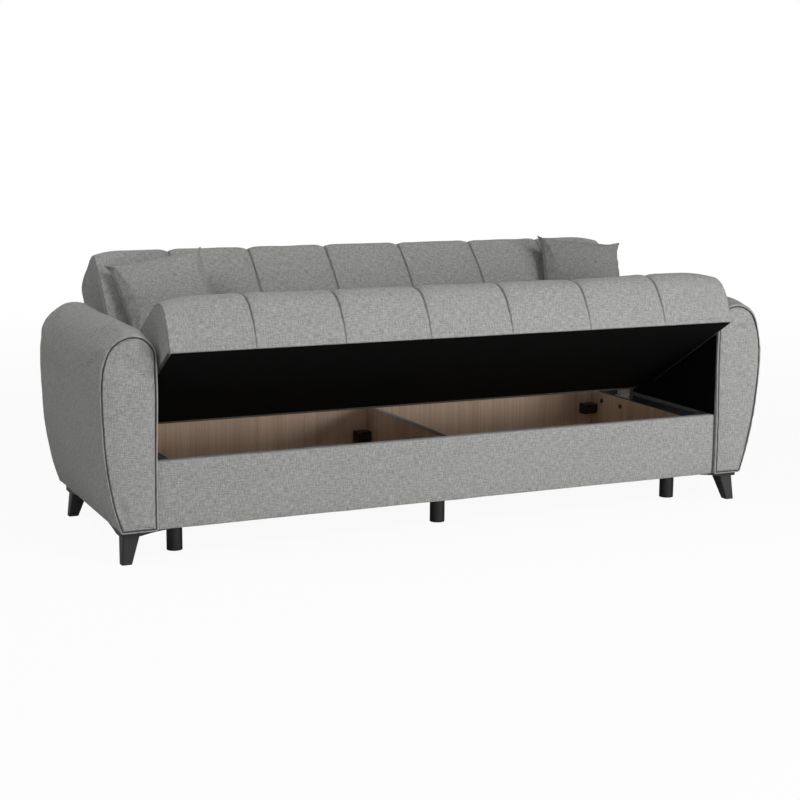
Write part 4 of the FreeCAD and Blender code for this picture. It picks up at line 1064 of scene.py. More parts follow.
@dataclass
class SeatCushion(Channelled):
    """Seat cushion, whose front face shows while the box is open."""

    front: float = -0.596
    rear: float = -0.004
    low: float = -0.1735
    front_radius: float = 0.078
    rear_radius: float = 0.016
    hem_height: float = 0.015
    # Strengths of the painted shade along the hem and on the underside lips
    hem_shade: float = 0.1
    lip_shade: float = 0.9
    foot_back: float = 0.014
    crown_front: float = 0.027
    crown_rear: float = 0.004
    crown_bow: float = 0.0155
    face_bow: float = 0.0037
    cover_front: float = 0.0165
    cover_rear: float = 0.025
    recess: float = 0.004
    bracket_clear: float = 0.042
    plate_clear: tuple[float, float] = (-0.078, -0.1255)
    crest_rise: float = 0.008

    def section(self, drawn: float) -> Array:
        """Outline on the hinge axes, drawn in by some depth."""
        face = self.front + drawn
        top_front = self.crown_front - drawn
        top_rear = self.crown_rear - drawn * 0.5
        foot = (self.front + self.foot_back, self.low)
        path = Outline((self.rear - 0.006, self.low))
        path.line((foot[0] + 0.004, self.low), 48)
        path.line((foot[0], self.low + 0.004), 2)
        path.line((foot[0] - 0.0065, self.low + 0.026), 9)
        path.bow(self.face_bow - drawn * 0.4, (face, top_front - self.front_radius), 10)
        path.turn((face + self.front_radius, top_front - self.front_radius), -90, 9)
        path.bow(self.crown_bow, (self.rear - self.rear_radius, top_rear), 40)
        path.turn((self.rear - self.rear_radius, top_rear - self.rear_radius), -90, 4)
        path.line((self.rear, self.low + 0.006), 22)
        path.line((self.rear - 0.006, self.low), 2)
        return path.closed()[::-1]

    def softness(self, ring: Array) -> Array:
        """How freely the cloth swells at each corner of the outline, 0 to 1."""
        height = np.clip((ring[:, 1] - self.low - 0.012) / 0.17, 0, 1)
        front = np.where(ring[:, 0] < self.front + 0.03, 0.35 + 0.65 * height, 1.0)
        under = np.clip((ring[:, 1] - self.low - 0.004) / 0.02, 0, 1)
        rear = np.where(ring[:, 0] > self.rear - 0.012, 0.35, 1.0)
        return front * under * rear

    def keep_clear(self, ring: Array) -> Array:
        """Outline of the notched ends, clear of the hinge brackets."""
        clear = ring.copy()
        clear[:, 0] = np.minimum(clear[:, 0], -self.bracket_clear)
        front, height = self.plate_clear
        clear[(clear[:, 0] > front) & (clear[:, 1] < height), 1] = height
        return clear

    def recessed(self, ring: Array) -> Array:
        """Outline drawn in where the dust cover lies."""
        start, end = self.front + self.cover_front, -self.cover_rear
        inside = (ring[:, 1] < self.low + 0.003) & (ring[:, 0] > start) & (ring[:, 0] < end)
        return np.where(inside[:, None], ring + (0.0, self.recess), ring)

    def open_cloth(self, points: Array) -> Array:
        """1 where the cushion's cloth is free, 0 under it."""
        return np.clip((points[:, 2] - self.low - 0.002) / 0.004, 0, 1)

    def hem(self, piece: bpy.types.Object) -> Array:
        """Press in the stitched hem above the lower front edge, and paint shade on it and on the
        underside lips.

        Args:
            piece: The cushion on the hinge axes.

        Returns:
            Painted shade of the hem's line and of the underside lips at each corner.
        """
        points = coordinates(piece)
        wave = 0.0009 * ripple(points[:, :1], 0.07, self.seed + 7)
        height = points[:, 2] - self.low - self.hem_height - wave
        front = points[:, 1] < self.front + 0.02
        line = np.exp(-((height / 0.0016) ** 2)) * front
        push_out(piece, lambda _, __: -0.0005 * line)
        # Painted shade: the linen lips under the rear and the ends, which face down and would catch the
        # front light, are painted nearly black; the hem's line is darkened lightly
        lips = (points[:, 1] > -0.03) | (np.abs(points[:, 0]) > self.cover_half - 0.002)
        shaded_lips = (points[:, 2] < self.low + 0.006) & lips & ~front
        return np.where(shaded_lips, self.lip_shade, line * self.hem_shade)


@dataclass
class BackCushion(Channelled):
    """Back cushion, swollen at its head."""

    low: float = 0.004
    top: float = 0.457
    rear: float = 0.172
    head: float = 0.196
    radius: float = 0.040
    foot_radius: float = 0.014
    droop: float = 0.018
    droop_length: float = 0.10
    droop_start: float = 0.30
    fill: tuple[int, int] = (37, 17)
    low_face: float = -0.002
    high_face: float = -0.029
    face_bow: float = 0.0285
    crown_bow: float = 0.005
    head_low: float = 0.3465
    head_bow: float = -0.002
    neck: float = 0.236
    bracket_clear: float = 0.042
    cover_heights: tuple[float, float] = (0.025, 0.2375)
    recess: float = 0.0075

    def section(self, drawn: float) -> Array:
        """Outline on the hinge axes, drawn in by some depth."""
        top = self.top - drawn
        low_face = self.low_face + drawn * 0.5
        high_face = self.high_face + drawn
        radius, foot = self.radius, self.foot_radius
        path = Outline((self.rear - 0.006, self.low))
        path.line((low_face + foot, self.low), 12)
        path.turn((low_face + foot, self.low + foot), -90, 4)
        path.bow(self.face_bow - drawn * 0.25, (high_face, top - radius), 34)
        path.turn((high_face + radius, top - radius), -90, 8)
        path.bow(self.crown_bow, (self.head - radius, top), 12)
        path.turn((self.head - radius, top - radius), -90, 8)
        path.line((self.head, self.head_low), 7)
        path.bow(self.head_bow, (self.rear, self.neck), 9)
        path.line((self.rear, self.low + 0.006), 16)
        path.line((self.rear - 0.006, self.low), 2)
        return path.closed()[::-1]

    def softness(self, ring: Array) -> Array:
        """How freely the cloth swells at each corner of the outline, 0 to 1."""
        rear = (ring[:, 0] > self.rear - 0.02) & (ring[:, 1] < 0.35)
        behind = np.clip((ring[:, 1] - 0.28) / 0.08, 0, 1)
        under = np.clip((ring[:, 1] - self.low - 0.004) / 0.02, 0, 1)
        return np.where(rear, behind, 1.0) * under

    def keep_clear(self, ring: Array) -> Array:
        """Outline of the notched ends, clear of the hinge brackets."""
        clear = ring.copy()
        clear[:, 1] = np.maximum(clear[:, 1], self.bracket_clear)
        return clear

    def recessed(self, ring: Array) -> Array:
        """Outline drawn in where the rear cloth lies."""
        low, high = self.cover_heights
        inside = (ring[:, 0] > self.rear - 0.003) & (ring[:, 1] < high) & (ring[:, 1] > low)
        return np.where(inside[:, None], ring - (self.recess, 0.0), ring)

    def open_cloth(self, points: Array) -> Array:
        """1 where the cushion's cloth is free, 0 under and behind it."""
        rear = (points[:, 1] > self.rear - 0.02) & (points[:, 2] < 0.35)
        return np.where(rear, np.clip((points[:, 2] - 0.27) / 0.06, 0, 1), 1.0)


# Arms
@dataclass
class Arm:
    """A padded arm with its front and rear panels, piping and liner."""

    side: Side
    finishes: Finishes
    edge: float = 0.0045
    front_inset: float = 0.0084
    rear_inset: float = 0.0137
    piping_inset: float = 0.0068
    piping_radius: float = 0.0013
    crown_rise: float = 0.023
    belly_heights: tuple[float, ...] = (0.17, 0.40, 0.50, 0.56)
    belly: tuple[float, ...] = (0.0075, -0.004, -0.004, 0.0)
    inner_swell: float = 0.006
    swell_height: float = 0.50
    swell_reach: float = 0.16
    dent_depth: float = 0.0095
    dent_place: tuple[float, float] = (0.075, 0.575)
    dent_slope: float = 0.35
    foot: float = 0.098
    arcs: tuple[tuple[tuple[float, float], float, int], ...] = (
        ((-1.012, 0.480), 18.76, 34),
        ((-0.220, 0.480), 17.97, 12),
        ((0.062, 0.57146), 72.03, 14),
        ((0.062, 0.599), 90.0, 12),
    )
    fill: tuple[int, int] = (0, 14)
    inflation: Inflation = Inflation(pressure=3.0, cap=0.005, grow=0.008)

    def outline(self, inset: float) -> Array:
        """Front view of the arm, outwards and up from the inner face.

        Args:
            inset: How far it is drawn in.

        Returns:
            Its corners.
        """
        path = Outline((0.004, FRAME_LOW)).line((self.foot, FRAME_LOW), 13)
        path.line((self.foot + 0.0053, FRAME_LOW + 0.004), 1)
        for centre, degrees, count in self.arcs:
            path.turn(centre, degrees, count)
        path.line((0.0, FRAME_LOW + 0.004), 49)
        path.line((0.004, FRAME_LOW), 1)
        flat = drawn_in(path.closed(), inset)
        if self.side is Side.LEFT:
            outer = np.clip((flat[:, 0] - 0.06) / 0.03, 0, 1)
            flat[:, 0] += outer * np.interp(flat[:, 1], self.belly_heights, self.belly)
        return flat

    def crown(self, y: float) -> Array:
        """How much fuller the cover is at its crown, behind the sewn front edge.

        Args:
            y: The depth.

        Returns:
            The way out for each corner of the outline.
        """
        flat = self.outline(0.0)
        above = np.clip((flat[:, 1] - 0.48) / 0.15, 0, 1)
        across = np.clip((flat[:, 0] - 0.005) / 0.03, 0, 1) * above**2 * (3 - 2 * above)
        ends = (1 - math.exp(-max(0.0, y - ARM_FRONT) / 0.045)) * min(1.0, max(0.0, ARM_REAR - y) / 0.06)
        return self.crown_rise * ends * across

    def ring(self, y: float, inset: float | Array) -> Array:
        """Corners of the outline at one depth.

        Args:
            y: The depth.
            inset: How far it is drawn in.

        Returns:
            The corners in the room.
        """
        flat = self.outline(inset)
        front = min(1.0, max(0.0, (TUCK_FRONT + 0.005 - y) / 0.006))
        inner = np.clip((0.02 - flat[:, 0]) / 0.01, 0, 1)
        inner *= np.exp(-(((flat[:, 1] - self.swell_height) / self.swell_reach) ** 2))
        flat[:, 0] -= self.inner_swell * front * inner
        across = self.side.value * (ARM_INNER + flat[:, 0])
        return np.stack([across, np.full(len(flat), y), flat[:, 1]], axis=1)

    def wrap(self) -> bpy.types.Object:
        """Cover over the arm's sides and top, rolled over its front edge.

        Returns:
            The cover.
        """
        rolls = [math.radians(a) for a in (0, 22.5, 45, 67.5, 90)]
        spots = [(TUCK_FRONT, self.front_inset), (-0.4165, 0.0072), (ARM_FRONT + 0.0008, 0.0053)]
        spots += [
            (ARM_FRONT + self.edge * (1 - math.cos(a)), self.edge * (1 - math.sin(a)))
            for a in rolls
        ]
        spots += [(float(y), 0.0015) for y in np.linspace(TUCK_FRONT, ARM_REAR - 0.01, 54)]
        spots += [
            (ARM_REAR - 0.004 * (1 - math.sin(a)), 0.004 * (1 - math.cos(a))) for a in rolls
        ]
        inset = self.rear_inset
        spots += [(ARM_REAR, 0.009), (ARM_REAR - 0.0008, inset), (TUCK_REAR, inset)]
        rings = np.stack([self.ring(y, inset - self.crown(y)) for y, inset in spots])
        piece = sweep(f"arm_cover_{self.side.word}", rings, (0, 2), self.fill)
        across = np.abs(rings[:, :, 0]) - ARM_INNER
        deep, high = rings[:, :, 1], rings[:, :, 2]
        free = (deep > ARM_FRONT + 0.012) & (deep < 0.305) & (high > FRAME_LOW + 0.012)
        free &= (across > 0.02) | (high > 0.57)
        pins = np.ones(len(piece.data.vertices))
        pins[: free.size] = np.where(free, 0.0, 1.0).ravel()
        self.inflation.run(piece, pins)
        modify(piece, "SUBSURF", levels=1, render_levels=1, use_limit_surface=False)
        points = coordinates(piece)
        seed = 31 + self.side.value
        near = np.exp(-np.maximum(points[:, 1] - ARM_FRONT, 0) / 0.03)
        lower = np.clip((points[:, 2] - FRAME_LOW) / 0.05, 0, 1)
        outer = np.clip((np.abs(points[:, 0]) - ARM_INNER - 0.004) / 0.01, 0, 1) * lower
        folds = ripple(points, 0.24, seed) * 0.0011 + ripple(points, 0.07, seed + 1) * 0.0003
        pucker = ripple(points[:, [0, 2]], 0.036, seed + 2) * 0.0006 * near
        push_out(piece, lambda _, __: (folds + pucker) * outer)
        # Painted shade along the fold behind the rolled front edge
        line = np.exp(-(((points[:, 1] - ARM_FRONT - self.edge - 0.002) / 0.0016) ** 2))
        mark_seams(piece, line * 0.1)
        return piece

    def panel(self, front: bool) -> bpy.types.Object:
        """Padded panel inside the outline, at the front or the rear.

        Args:
            front: Whether it is the front one.

        Returns:
            The panel.
        """
        name = f"arm_{'front' if front else 'rear'}_pad_{self.side.word}"
        way = -1 if front else 1
        face, base = (ARM_FRONT, TUCK_FRONT) if front else (ARM_REAR, TUCK_REAR)
        inset = self.front_inset if front else self.rear_inset - 0.0002
        spots = [(base, inset), (face - way * 0.0030, inset)]
        spots += [(face - way * 0.0008, inset + 0.0008), (face, inset + 0.003)]
        spots += [(face + way * 0.0012, inset + 0.0075)]
        rings = np.stack([self.ring(y, i) for y, i in spots])
        piece = sweep(name, rings, (0, 2), self.fill)
        if front:
            pins = np.zeros(len(piece.data.vertices))
            pins[: 4 * rings.shape[1]] = 1.0
            points = coordinates(piece)
            pins[np.abs(points[:, 1] - base) < 0.001] = 1.0
            Inflation(pressure=2.5, cap=0.0035, grow=0.004).run(piece, pins)
        modify(piece, "SUBSURF", levels=1, render_levels=1, use_limit_surface=False)
        points = coordinates(piece)
        outside = np.clip((points[:, 1] - base) * way / 0.01, 0, 1)
        dent = self.dent(points) if front else 0.0
        folds = ripple(points, 0.21, 47 + self.side.value) * 0.0011
        push_out(piece, lambda _, __: (folds - dent) * outside)
        return piece

    def dent(self, points: Array) -> Array:
        """Depth of the soft hollow under the crown of the front panel.

        Args:
            points: Places on the panel.

        Returns:
            The depths in metres.
        """
        middle, height = self.dent_place
        across = np.abs(points[:, 0]) - ARM_INNER
        slope = (points[:, 2] - height) - self.dent_slope * (across - 0.08)
        hollow = np.exp(-((slope / 0.026) ** 2)) * np.exp(-(((across - middle) / 0.055) ** 2))
        return self.dent_depth * hollow

    def piping(self) -> bpy.types.Object:
        """Cord sewn round the front panel.

        Returns:
            The cord.
        """
        path = self.ring(ARM_FRONT, self.piping_inset)
        ahead = np.roll(path, -1, axis=0) - np.roll(path, 1, axis=0)
        ahead /= np.linalg.norm(ahead, axis=1)[:, None]
        outwards = np.cross(ahead, (0.0, 1.0, 0.0))
        middle = ARM_FRONT - 0.0006
        rings = []
        for point, out in zip(path, outwards):
            turns = np.radians(np.arange(0, 360, 36))
            ring = point + self.piping_radius * np.outer(np.cos(turns), out)
            ring[:, 1] = middle + self.piping_radius * np.sin(turns)
            rings.append(ring)
        piece = sweep(f"arm_piping_cord_{self.side.word}", np.stack(rings), (0, 2), loop=True)
        modify(piece, "SUBSURF", levels=1, render_levels=1, use_limit_surface=False)
        points = coordinates(piece)
        knots = ripple(points[:, [0, 2]], 0.012, 61) * 0.00018
        push_out(piece, lambda _, __: knots)
        return piece

    def liner(self) -> bpy.types.Object:
        """Black cloth stapled to the inner face above the ledge.

        Returns:
            The cloth.
        """
        name = f"arm_liner_cloth_{self.side.word}"
        piece = stretched_cloth(name, (0.676, 0.2635), 0.0012, 71 + self.side.value, 0.0011)
        points = coordinates(piece)
        placed = np.stack(
            [
                self.side.value * (0.9494 - points[:, 2]),
                points[:, 0] - 0.067,
                points[:, 1] + 0.42825,
            ],
            axis=1,
        )
        set_coordinates(piece, placed)
        face_outwards(piece)
        return piece

    def welt(self) -> bpy.types.Object:
        """Folded edge of the cover, stapled beside the liner's front edge.

        Returns:
            The folded edge.
        """
        heights = np.linspace(RAIL_TOP + 0.002, 0.565, 60)
        wave = ripple(heights[:, None], 0.16, 81 + self.side.value) * 0.0014
        rings = []
        for height, drift in zip(heights, wave):
            turns = np.radians(np.arange(0, 360, 36))
            across = self.side.value * (ARM_INNER - 0.0012 + 0.0016 * np.cos(turns))
            deep = -0.4105 + drift + 0.0034 * np.sin(turns)
            rings.append(np.stack([across, deep, np.full(len(turns), height)], axis=1))
        piece = sweep(f"arm_welt_{self.side.word}", np.stack(rings), (0, 1), (0, 2))
        modify(piece, "SUBSURF", levels=1, render_levels=1, use_limit_surface=False)
        return piece

    def build(self) -> None:
        """Make and dress all of the arm's soft pieces."""
        word, cloth = self.side.word, self.finishes.linen
        wrap = self.wrap()
        front = self.panel(True)
        rear = self.panel(False)
        for piece, node, fill in (
            (wrap, "arm_wrap", 0.9),
            (front, "arm_front", 0.7),
            (rear, "arm_rear", 0.8),
        ):
            smooth(piece, 60)
            dress(piece, cloth)
            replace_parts(piece, f"{node}_{word}")
            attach(piece, Body.BASE.value)
        piping = self.piping()
        smooth(piping, 60)
        dress(piping, self.finishes.piping)
        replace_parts(piping, f"arm_piping_{word}")
        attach(piping, Body.BASE.value)
        liner = self.liner()
        dress(liner, self.finishes.black_cloth)
        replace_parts(liner, f"arm_liner_{word}")
        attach(liner, Body.BASE.value)
        welt = self.welt()
        smooth(welt, 60)
        dress(welt, cloth)
        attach(welt, Body.BASE.value)


def face_outwards(piece: bpy.types.Object) -> None:
    """Turn the faces of a closed piece outwards.

    Args:
        piece: The object.
    """
    points = coordinates(piece)
    faces = [tuple(face.vertices) for face in piece.data.polygons]
    if enclosed(points, faces) < 0:
        piece.data.flip_normals()


def stretched_cloth(
    name: str, size: tuple[float, float], thickness: float, seed: int, slack: float
) -> bpy.types.Object:
    """Thin cloth in the X-Y plane about the origin, stapled along its edges.

    Args:
        name: Name of the piece.
        size: Its length and width.
        thickness: Its thickness, which goes up from the plane.
        seed: Seed of its creases.
        slack: How far it strays from flat between the staples.

    Returns:
        The cloth, as a closed shell.
    """
    length, width = size
    columns, rows = max(12, round(length / 0.016)), max(10, round(width / 0.016))
    xs = np.linspace(-length / 2, length / 2, columns + 1)
    ys = np.linspace(-width / 2, width / 2, rows + 1)
    grid = np.stack(np.meshgrid(xs, ys, indexing="ij"), axis=2).reshape(-1, 2)
    edge = np.minimum(length / 2 - np.abs(grid[:, 0]), width / 2 - np.abs(grid[:, 1]))
    free = 1 - np.exp(-edge / 0.05)
    wave = (0.5 + 0.5 * ripple(grid * (1.0, 1.6), 0.19, seed)) * slack * free
    top = np.column_stack([grid, wave + thickness])
    low = np.column_stack([grid, wave])
    points = np.vstack([top, low])
    faces, weave = [], []
    stride, half = rows + 1, len(top)
    for i in range(columns):
        for j in range(rows):
            square = (i * stride + j, (i + 1) * stride + j, (i + 1) * stride + j + 1, i * stride + j + 1)
            for ring in (square, tuple(half + k for k in reversed(square))):
                faces.append(ring)
                weave += [tuple(points[k, :2]) for k in ring]
    border = [i * stride for i in range(columns + 1)]
    border += [columns * stride + j for j in range(1, rows + 1)]
    border += [i * stride + rows for i in range(columns - 1, -1, -1)]
    border += list(range(rows - 1, 0, -1))
    for here, after in zip(border, border[1:] + border[:1]):
        faces.append((here, here + half, after + half, after))
        weave += [tuple(points[k, :2]) for k in (here, here, after, after)]
    return soft_mesh(name, points, faces, np.array(weave))


# Pillows
@dataclass
class Pillow:
    """A loose square pillow that rests on the back."""

    side: Side
    centre: tuple[float, float, float]
    swing: float
    roll: float
    tip: float
    seed: int
    half: float = 0.165
    front: float = 0.062
    rear: float = 0.042
    draw: float = 0.013
    edge: float = 0.0025
    divisions: int = 48
    start: float = 0.86
    inflation: Inflation = Inflation(pressure=4.5, cap=0.009, grow=0.03, stiffness=12.0)

    def shares(self) -> Array:
        """Grid lines from -1 to 1, closer together near the edges."""
        even = np.linspace(-1, 1, self.divisions + 1)
        return 0.6 * even + 0.4 * np.sin(even * math.pi / 2)

    def build(self, material: bpy.types.Material) -> bpy.types.Object:
        """Sew, fill and place the pillow.

        Args:
            material: Its cloth.

        Returns:
            The pillow.
        """
        shares = self.shares()
        count = len(shares)
        s, t = (grid.ravel() for grid in np.meshgrid(shares, shares, indexing="ij"))
        swell = ((1 - s**2) * (1 - t**2)) ** 0.52
        x = s * (self.half - self.draw * (1 - t**4))
        z = t * (self.half - self.draw * (1 - s**4))
        ahead = self.edge + (self.front - self.edge) * swell * self.start
        behind = self.edge + (self.rear - self.edge) * swell * self.start
        rim = np.maximum(np.abs(s), np.abs(t)) > 1 - ON_EDGE
        front_points = np.column_stack([x, np.where(rim, 0.0, -ahead), z])
        rear_number = np.full(len(s), -1)
        rear_number[~rim] = len(s) + np.arange((~rim).sum())
        rear_number[rim] = np.flatnonzero(rim)
        rear_points = np.column_stack([x, behind, z])[~rim]
        points = np.vstack([front_points, rear_points])
        flat = np.column_stack([s, t]) * self.half
        faces, weave = [], []
        for i in range(count - 1):
            for j in range(count - 1):
                here, beyond = i * count + j, (i + 1) * count + j
                square = [here, beyond, beyond + 1, here + 1]
                faces.append(tuple(square))
                weave += [tuple(flat[k]) for k in square]
                faces.append(tuple(int(rear_number[k]) for k in reversed(square)))
                weave += [(0.6 - flat[k, 0], flat[k, 1]) for k in reversed(square)]
        name = f"pillow_padding_{self.side.word}"
        piece = soft_mesh(name, points, faces, np.array(weave))
        inwards = np.minimum(1 - np.abs(s), 1 - np.abs(t))
        rim_share = np.concatenate([inwards, inwards[~rim]])
        layer = piece.data.attributes.new("rim", "FLOAT", "POINT")
        layer.data.foreach_set("value", rim_share.astype(np.float32))
        self.inflation.run(piece, np.zeros(len(points)))
        modify(piece, "SUBSURF", levels=1, render_levels=1, use_limit_surface=False)
        self.crease(piece)
        set_coordinates(piece, self.placed(coordinates(piece)))
        smooth(piece, 70)
        dress(piece, material)
        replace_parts(piece, f"pillow_{self.side.word}")
        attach(piece, Body[f"{self.side.name}_PILLOW"].value)
        return piece

    def crease(self, piece: bpy.types.Object) -> None:
        """Add the sewn rim with painted shade along it, its puckers and the folds at the corners.

        Args:
            piece: The pillow about its own centre.
        """
        points = coordinates(piece)
        rim = np.zeros(len(points), np.float32)
        piece.data.attributes["rim"].data.foreach_get("value", rim)
        piece.data.attributes.remove(piece.data.attributes["rim"])
        inside = rim * self.half
        pucker = np.exp(-inside / 0.02) * (1 - np.exp(-inside / 0.004))
        waves = ripple(points[:, [0, 2]], 0.034, self.seed) * 0.0022 * pucker
        folds = np.zeros(len(points))
        for number, (sx, sz) in enumerate(((-1, -1), (-1, 1), (1, -1), (1, 1))):
            away = points[:, [0, 2]] - np.array((sx, sz)) * self.half
            distance = np.linalg.norm(away, axis=1)
            angle = np.arctan2(-sz * away[:, 1], -sx * away[:, 0])
            count = 9 + 2 * number
            fan = np.sin(angle * count + self.seed + number) * np.sin(angle * 2) ** 2
            reach = np.exp(-(((distance - 0.055) / 0.045) ** 2))
            folds += fan * reach * 0.0017
        soft = ripple(points, 0.13, self.seed + 3) * 0.0022 * (1 - np.exp(-inside / 0.03))
        push_out(piece, lambda _, __: waves + folds + soft)
        seam = np.exp(-(((inside - 0.0035) / 0.0016) ** 2))
        push_out(piece, lambda _, __: -0.0011 * seam)
        # Painted shade along the sewn rim
        mark_seams(piece, seam * 0.35)

    def placed(self, points: Array) -> Array:
        """Points of the pillow at their place in the room.

        Args:
            points: Places about the pillow's centre.

        Returns:
            The places in the room.
        """
        swing = Matrix.Rotation(math.radians(self.swing), 3, "Z")
        roll = Matrix.Rotation(math.radians(self.roll), 3, "Y")
        tip = Matrix.Rotation(math.radians(self.tip), 3, "X")
        spin = np.array(swing @ roll @ tip)
        return turned(points @ spin.T + np.array(self.centre), BACK_ANGLE)


# Box
@dataclass
class Rail:
    """Padded cover of the box's front rail."""

    half: float = 0.9494
    roll: float = 0.005
    inflation: Inflation = Inflation(pressure=2.0, cap=0.003, grow=0.006)

    def section(self) -> Array:
        """Outline of the cover in Y and Z."""
        low, high, front, rear = FRAME_LOW, RAIL_TOP, RAIL_FRONT, RAIL_REAR
        roll = self.roll
        path = Outline((rear - 0.001, low)).line((front + roll, low), 4)
        path.turn((front + roll, low + roll), -90, 4)
        path.line((front, high - roll), 22)
        path.turn((front + roll, high - roll), -90, 4)
        path.line((rear - 0.001, high), 4)
        path.line((rear, high - 0.001), 1)
        path.line((rear, low + 0.001), 24)
        path.line((rear - 0.001, low), 1)
        return path.closed()[::-1]

    def build(self, material: bpy.types.Material) -> None:
        """Make and dress the cover.

        Args:
            material: Its cloth.
        """
        ends = [self.half - 0.003 * (1 - math.sin(math.radians(a))) for a in (0, 30, 60, 90)]
        inner = list(np.linspace(0, self.half - 0.015, 74))
        places = sorted({round(float(s * x), 5) for x in ends + inner for s in (-1, 1)})
        section = self.section()
        rings = []
        for x in places:
            over = max(0.0, abs(x) - (self.half - 0.003))
            inset = 0.003 - math.sqrt(max(0.0, 0.003**2 - over**2))
            ring = drawn_in(section, inset)
            rings.append(np.column_stack([np.full(len(ring), x), ring]))
        rings = np.stack(rings)
        piece = sweep("rail_cover", rings, (1, 2), (25, 6))
        deep, high = rings[:, :, 1], rings[:, :, 2]
        free = (deep < RAIL_FRONT + 0.001) & (high > FRAME_LOW + 0.012) & (high < RAIL_TOP - 0.008)
        free &= np.abs(rings[:, :, 0]) < self.half - 0.01
        pins = np.where(free, 0.0, 1.0).ravel()
        extra = np.ones(len(piece.data.vertices) - len(pins))
        self.inflation.run(piece, np.concatenate([pins, extra]))
        modify(piece, "SUBSURF", levels=1, render_levels=1, use_limit_surface=False)
        points = coordinates(piece)
        front = points[:, 1] < RAIL_FRONT + 0.004
        folds = ripple(points, 0.3, 91) * 0.0012 + ripple(points * (1, 1, 2.2), 0.09, 92) * 0.00035
        push_out(piece, lambda _, __: folds * front)
        smooth(piece, 60)
        dress(piece, material)
        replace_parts(piece, "front_rail_cover")
        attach(piece, Body.BASE.value)


@dataclass(frozen=True)
class Panel:
    """Cloth stapled over an opening of the frame."""

    name: str
    node: str
    body: Body
    size: tuple[float, float]
    thickness: float
    slack: float
    seed: int
    tilt: float
    centre: tuple[float, float, float]
    degrees: float | None = None
    cut: tuple[float, float] | None = None

    def build(self, material: bpy.types.Material, slot: str) -> None:
        """Make and dress the cloth.

        Args:
            material: Its cloth.
            slot: Not used.
        """
        piece = stretched_cloth(self.name, self.size, self.thickness, self.seed, self.slack)
        spin = np.array(Matrix.Rotation(math.radians(self.tilt), 3, "X"))
        points = coordinates(piece)
        if self.cut is not None:
            start, depth = self.cut
            half = self.size[1] / 2
            share = np.where(np.abs(points[:, 0]) > start, 1 - depth / (2 * half), 1.0)
            points[:, 1] = half + (points[:, 1] - half) * share
        points = points @ spin.T + np.array(self.centre)
        set_coordinates(piece, points if self.degrees is None else turned(points, self.degrees))
        smooth(piece, 60)
        dress(piece, material)
        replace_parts(piece, self.node)
        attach(piece, self.body.value)


@dataclass(frozen=True)
class SpringPads:
    """Felted spring units inside a cushion, one for each block of the frame."""

    name: str
    node: str
    body: Body
    degrees: float
    edge: float = 0.014
    pitch: float = 0.07
    relief: float = 0.0015

    def boxes(self) -> list[tuple[Array, Array]]:
        """Lowest and highest corners of the node's blocks on the hinge axes."""
        spin = np.array(Matrix.Rotation(math.radians(self.degrees), 3, "X"))
        points = (coordinates(frame["nodes"][self.node]) - np.array(HINGE)) @ spin
        places = np.unique(points[:, 0].round(4))
        found = []
        for left, right in zip(places[::2], places[1::2]):
            block = points[(points[:, 0] > left - 1e-3) & (points[:, 0] < right + 1e-3)]
            found.append((block.min(axis=0), block.max(axis=0)))
        return found

    def build(self, material: bpy.types.Material) -> None:
        """Make and dress the pads.

        Args:
            material: Their felt.
        """
        pads = []
        for low, high in self.boxes():
            edge = self.edge
            path = Outline((high[1] - edge, low[2])).line((low[1] + edge, low[2]), 14)
            path.turn((low[1] + edge, low[2] + edge), -90, 3)
            path.line((low[1], high[2] - edge), 5)
            path.turn((low[1] + edge, high[2] - edge), -90, 3)
            path.line((high[1] - edge, high[2]), 14)
            path.turn((high[1] - edge, high[2] - edge), -90, 3)
            path.line((high[1], low[2] + edge), 5)
            path.turn((high[1] - edge, low[2] + edge), -90, 3)
            section = path.closed()[::-1]
            rings = []
            for x in np.linspace(low[0], high[0], 20):
                over = max(0.0, edge - min(x - low[0], high[0] - x))
                inset = edge - math.sqrt(max(0.0, edge**2 - over**2))
                ring = drawn_in(section, inset)
                rings.append(np.column_stack([np.full(len(ring), x), ring]))
            pads.append(sweep(f"{self.name}_{len(pads)}", np.stack(rings), (1, 2), (8, 17)))
        deselect()
        for pad in pads:
            pad.select_set(True)
        bpy.context.view_layer.objects.active = pads[0]
        bpy.ops.object.join()
        piece = pads[0]
        piece.name = self.name
        points = coordinates(piece)
        coils = np.cos(points[:, :2] / self.pitch * 2 * math.pi).prod(axis=1)
        push_out(piece, lambda _, __: self.relief * (coils - 1))
        set_coordinates(piece, turned(coordinates(piece), self.degrees))
        smooth(piece, 60)
        dress(piece, material)
        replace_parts(piece, self.node)
        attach(piece, self.body.value)


# Studio
@dataclass(frozen=True)
class Lamp:
    """A square soft box."""

    name: str
    place: tuple[float, float, float]
    aim: tuple[float, float, float]
    size: float
    power: float

    def build(self) -> None:
        """Hang the lamp and turn it to its aim."""
        data = bpy.data.lights.new(self.name, "AREA")
        data.shape = "SQUARE"
        data.size = self.size
        data.energy = self.power
        lamp = bpy.data.objects.new(self.name, data)
        lamp.location = self.place
        way = Vector(self.aim) - Vector(self.place)
        lamp.rotation_euler = way.to_track_quat("-Z", "Y").to_euler()
        bpy.context.scene.collection.objects.link(lamp)


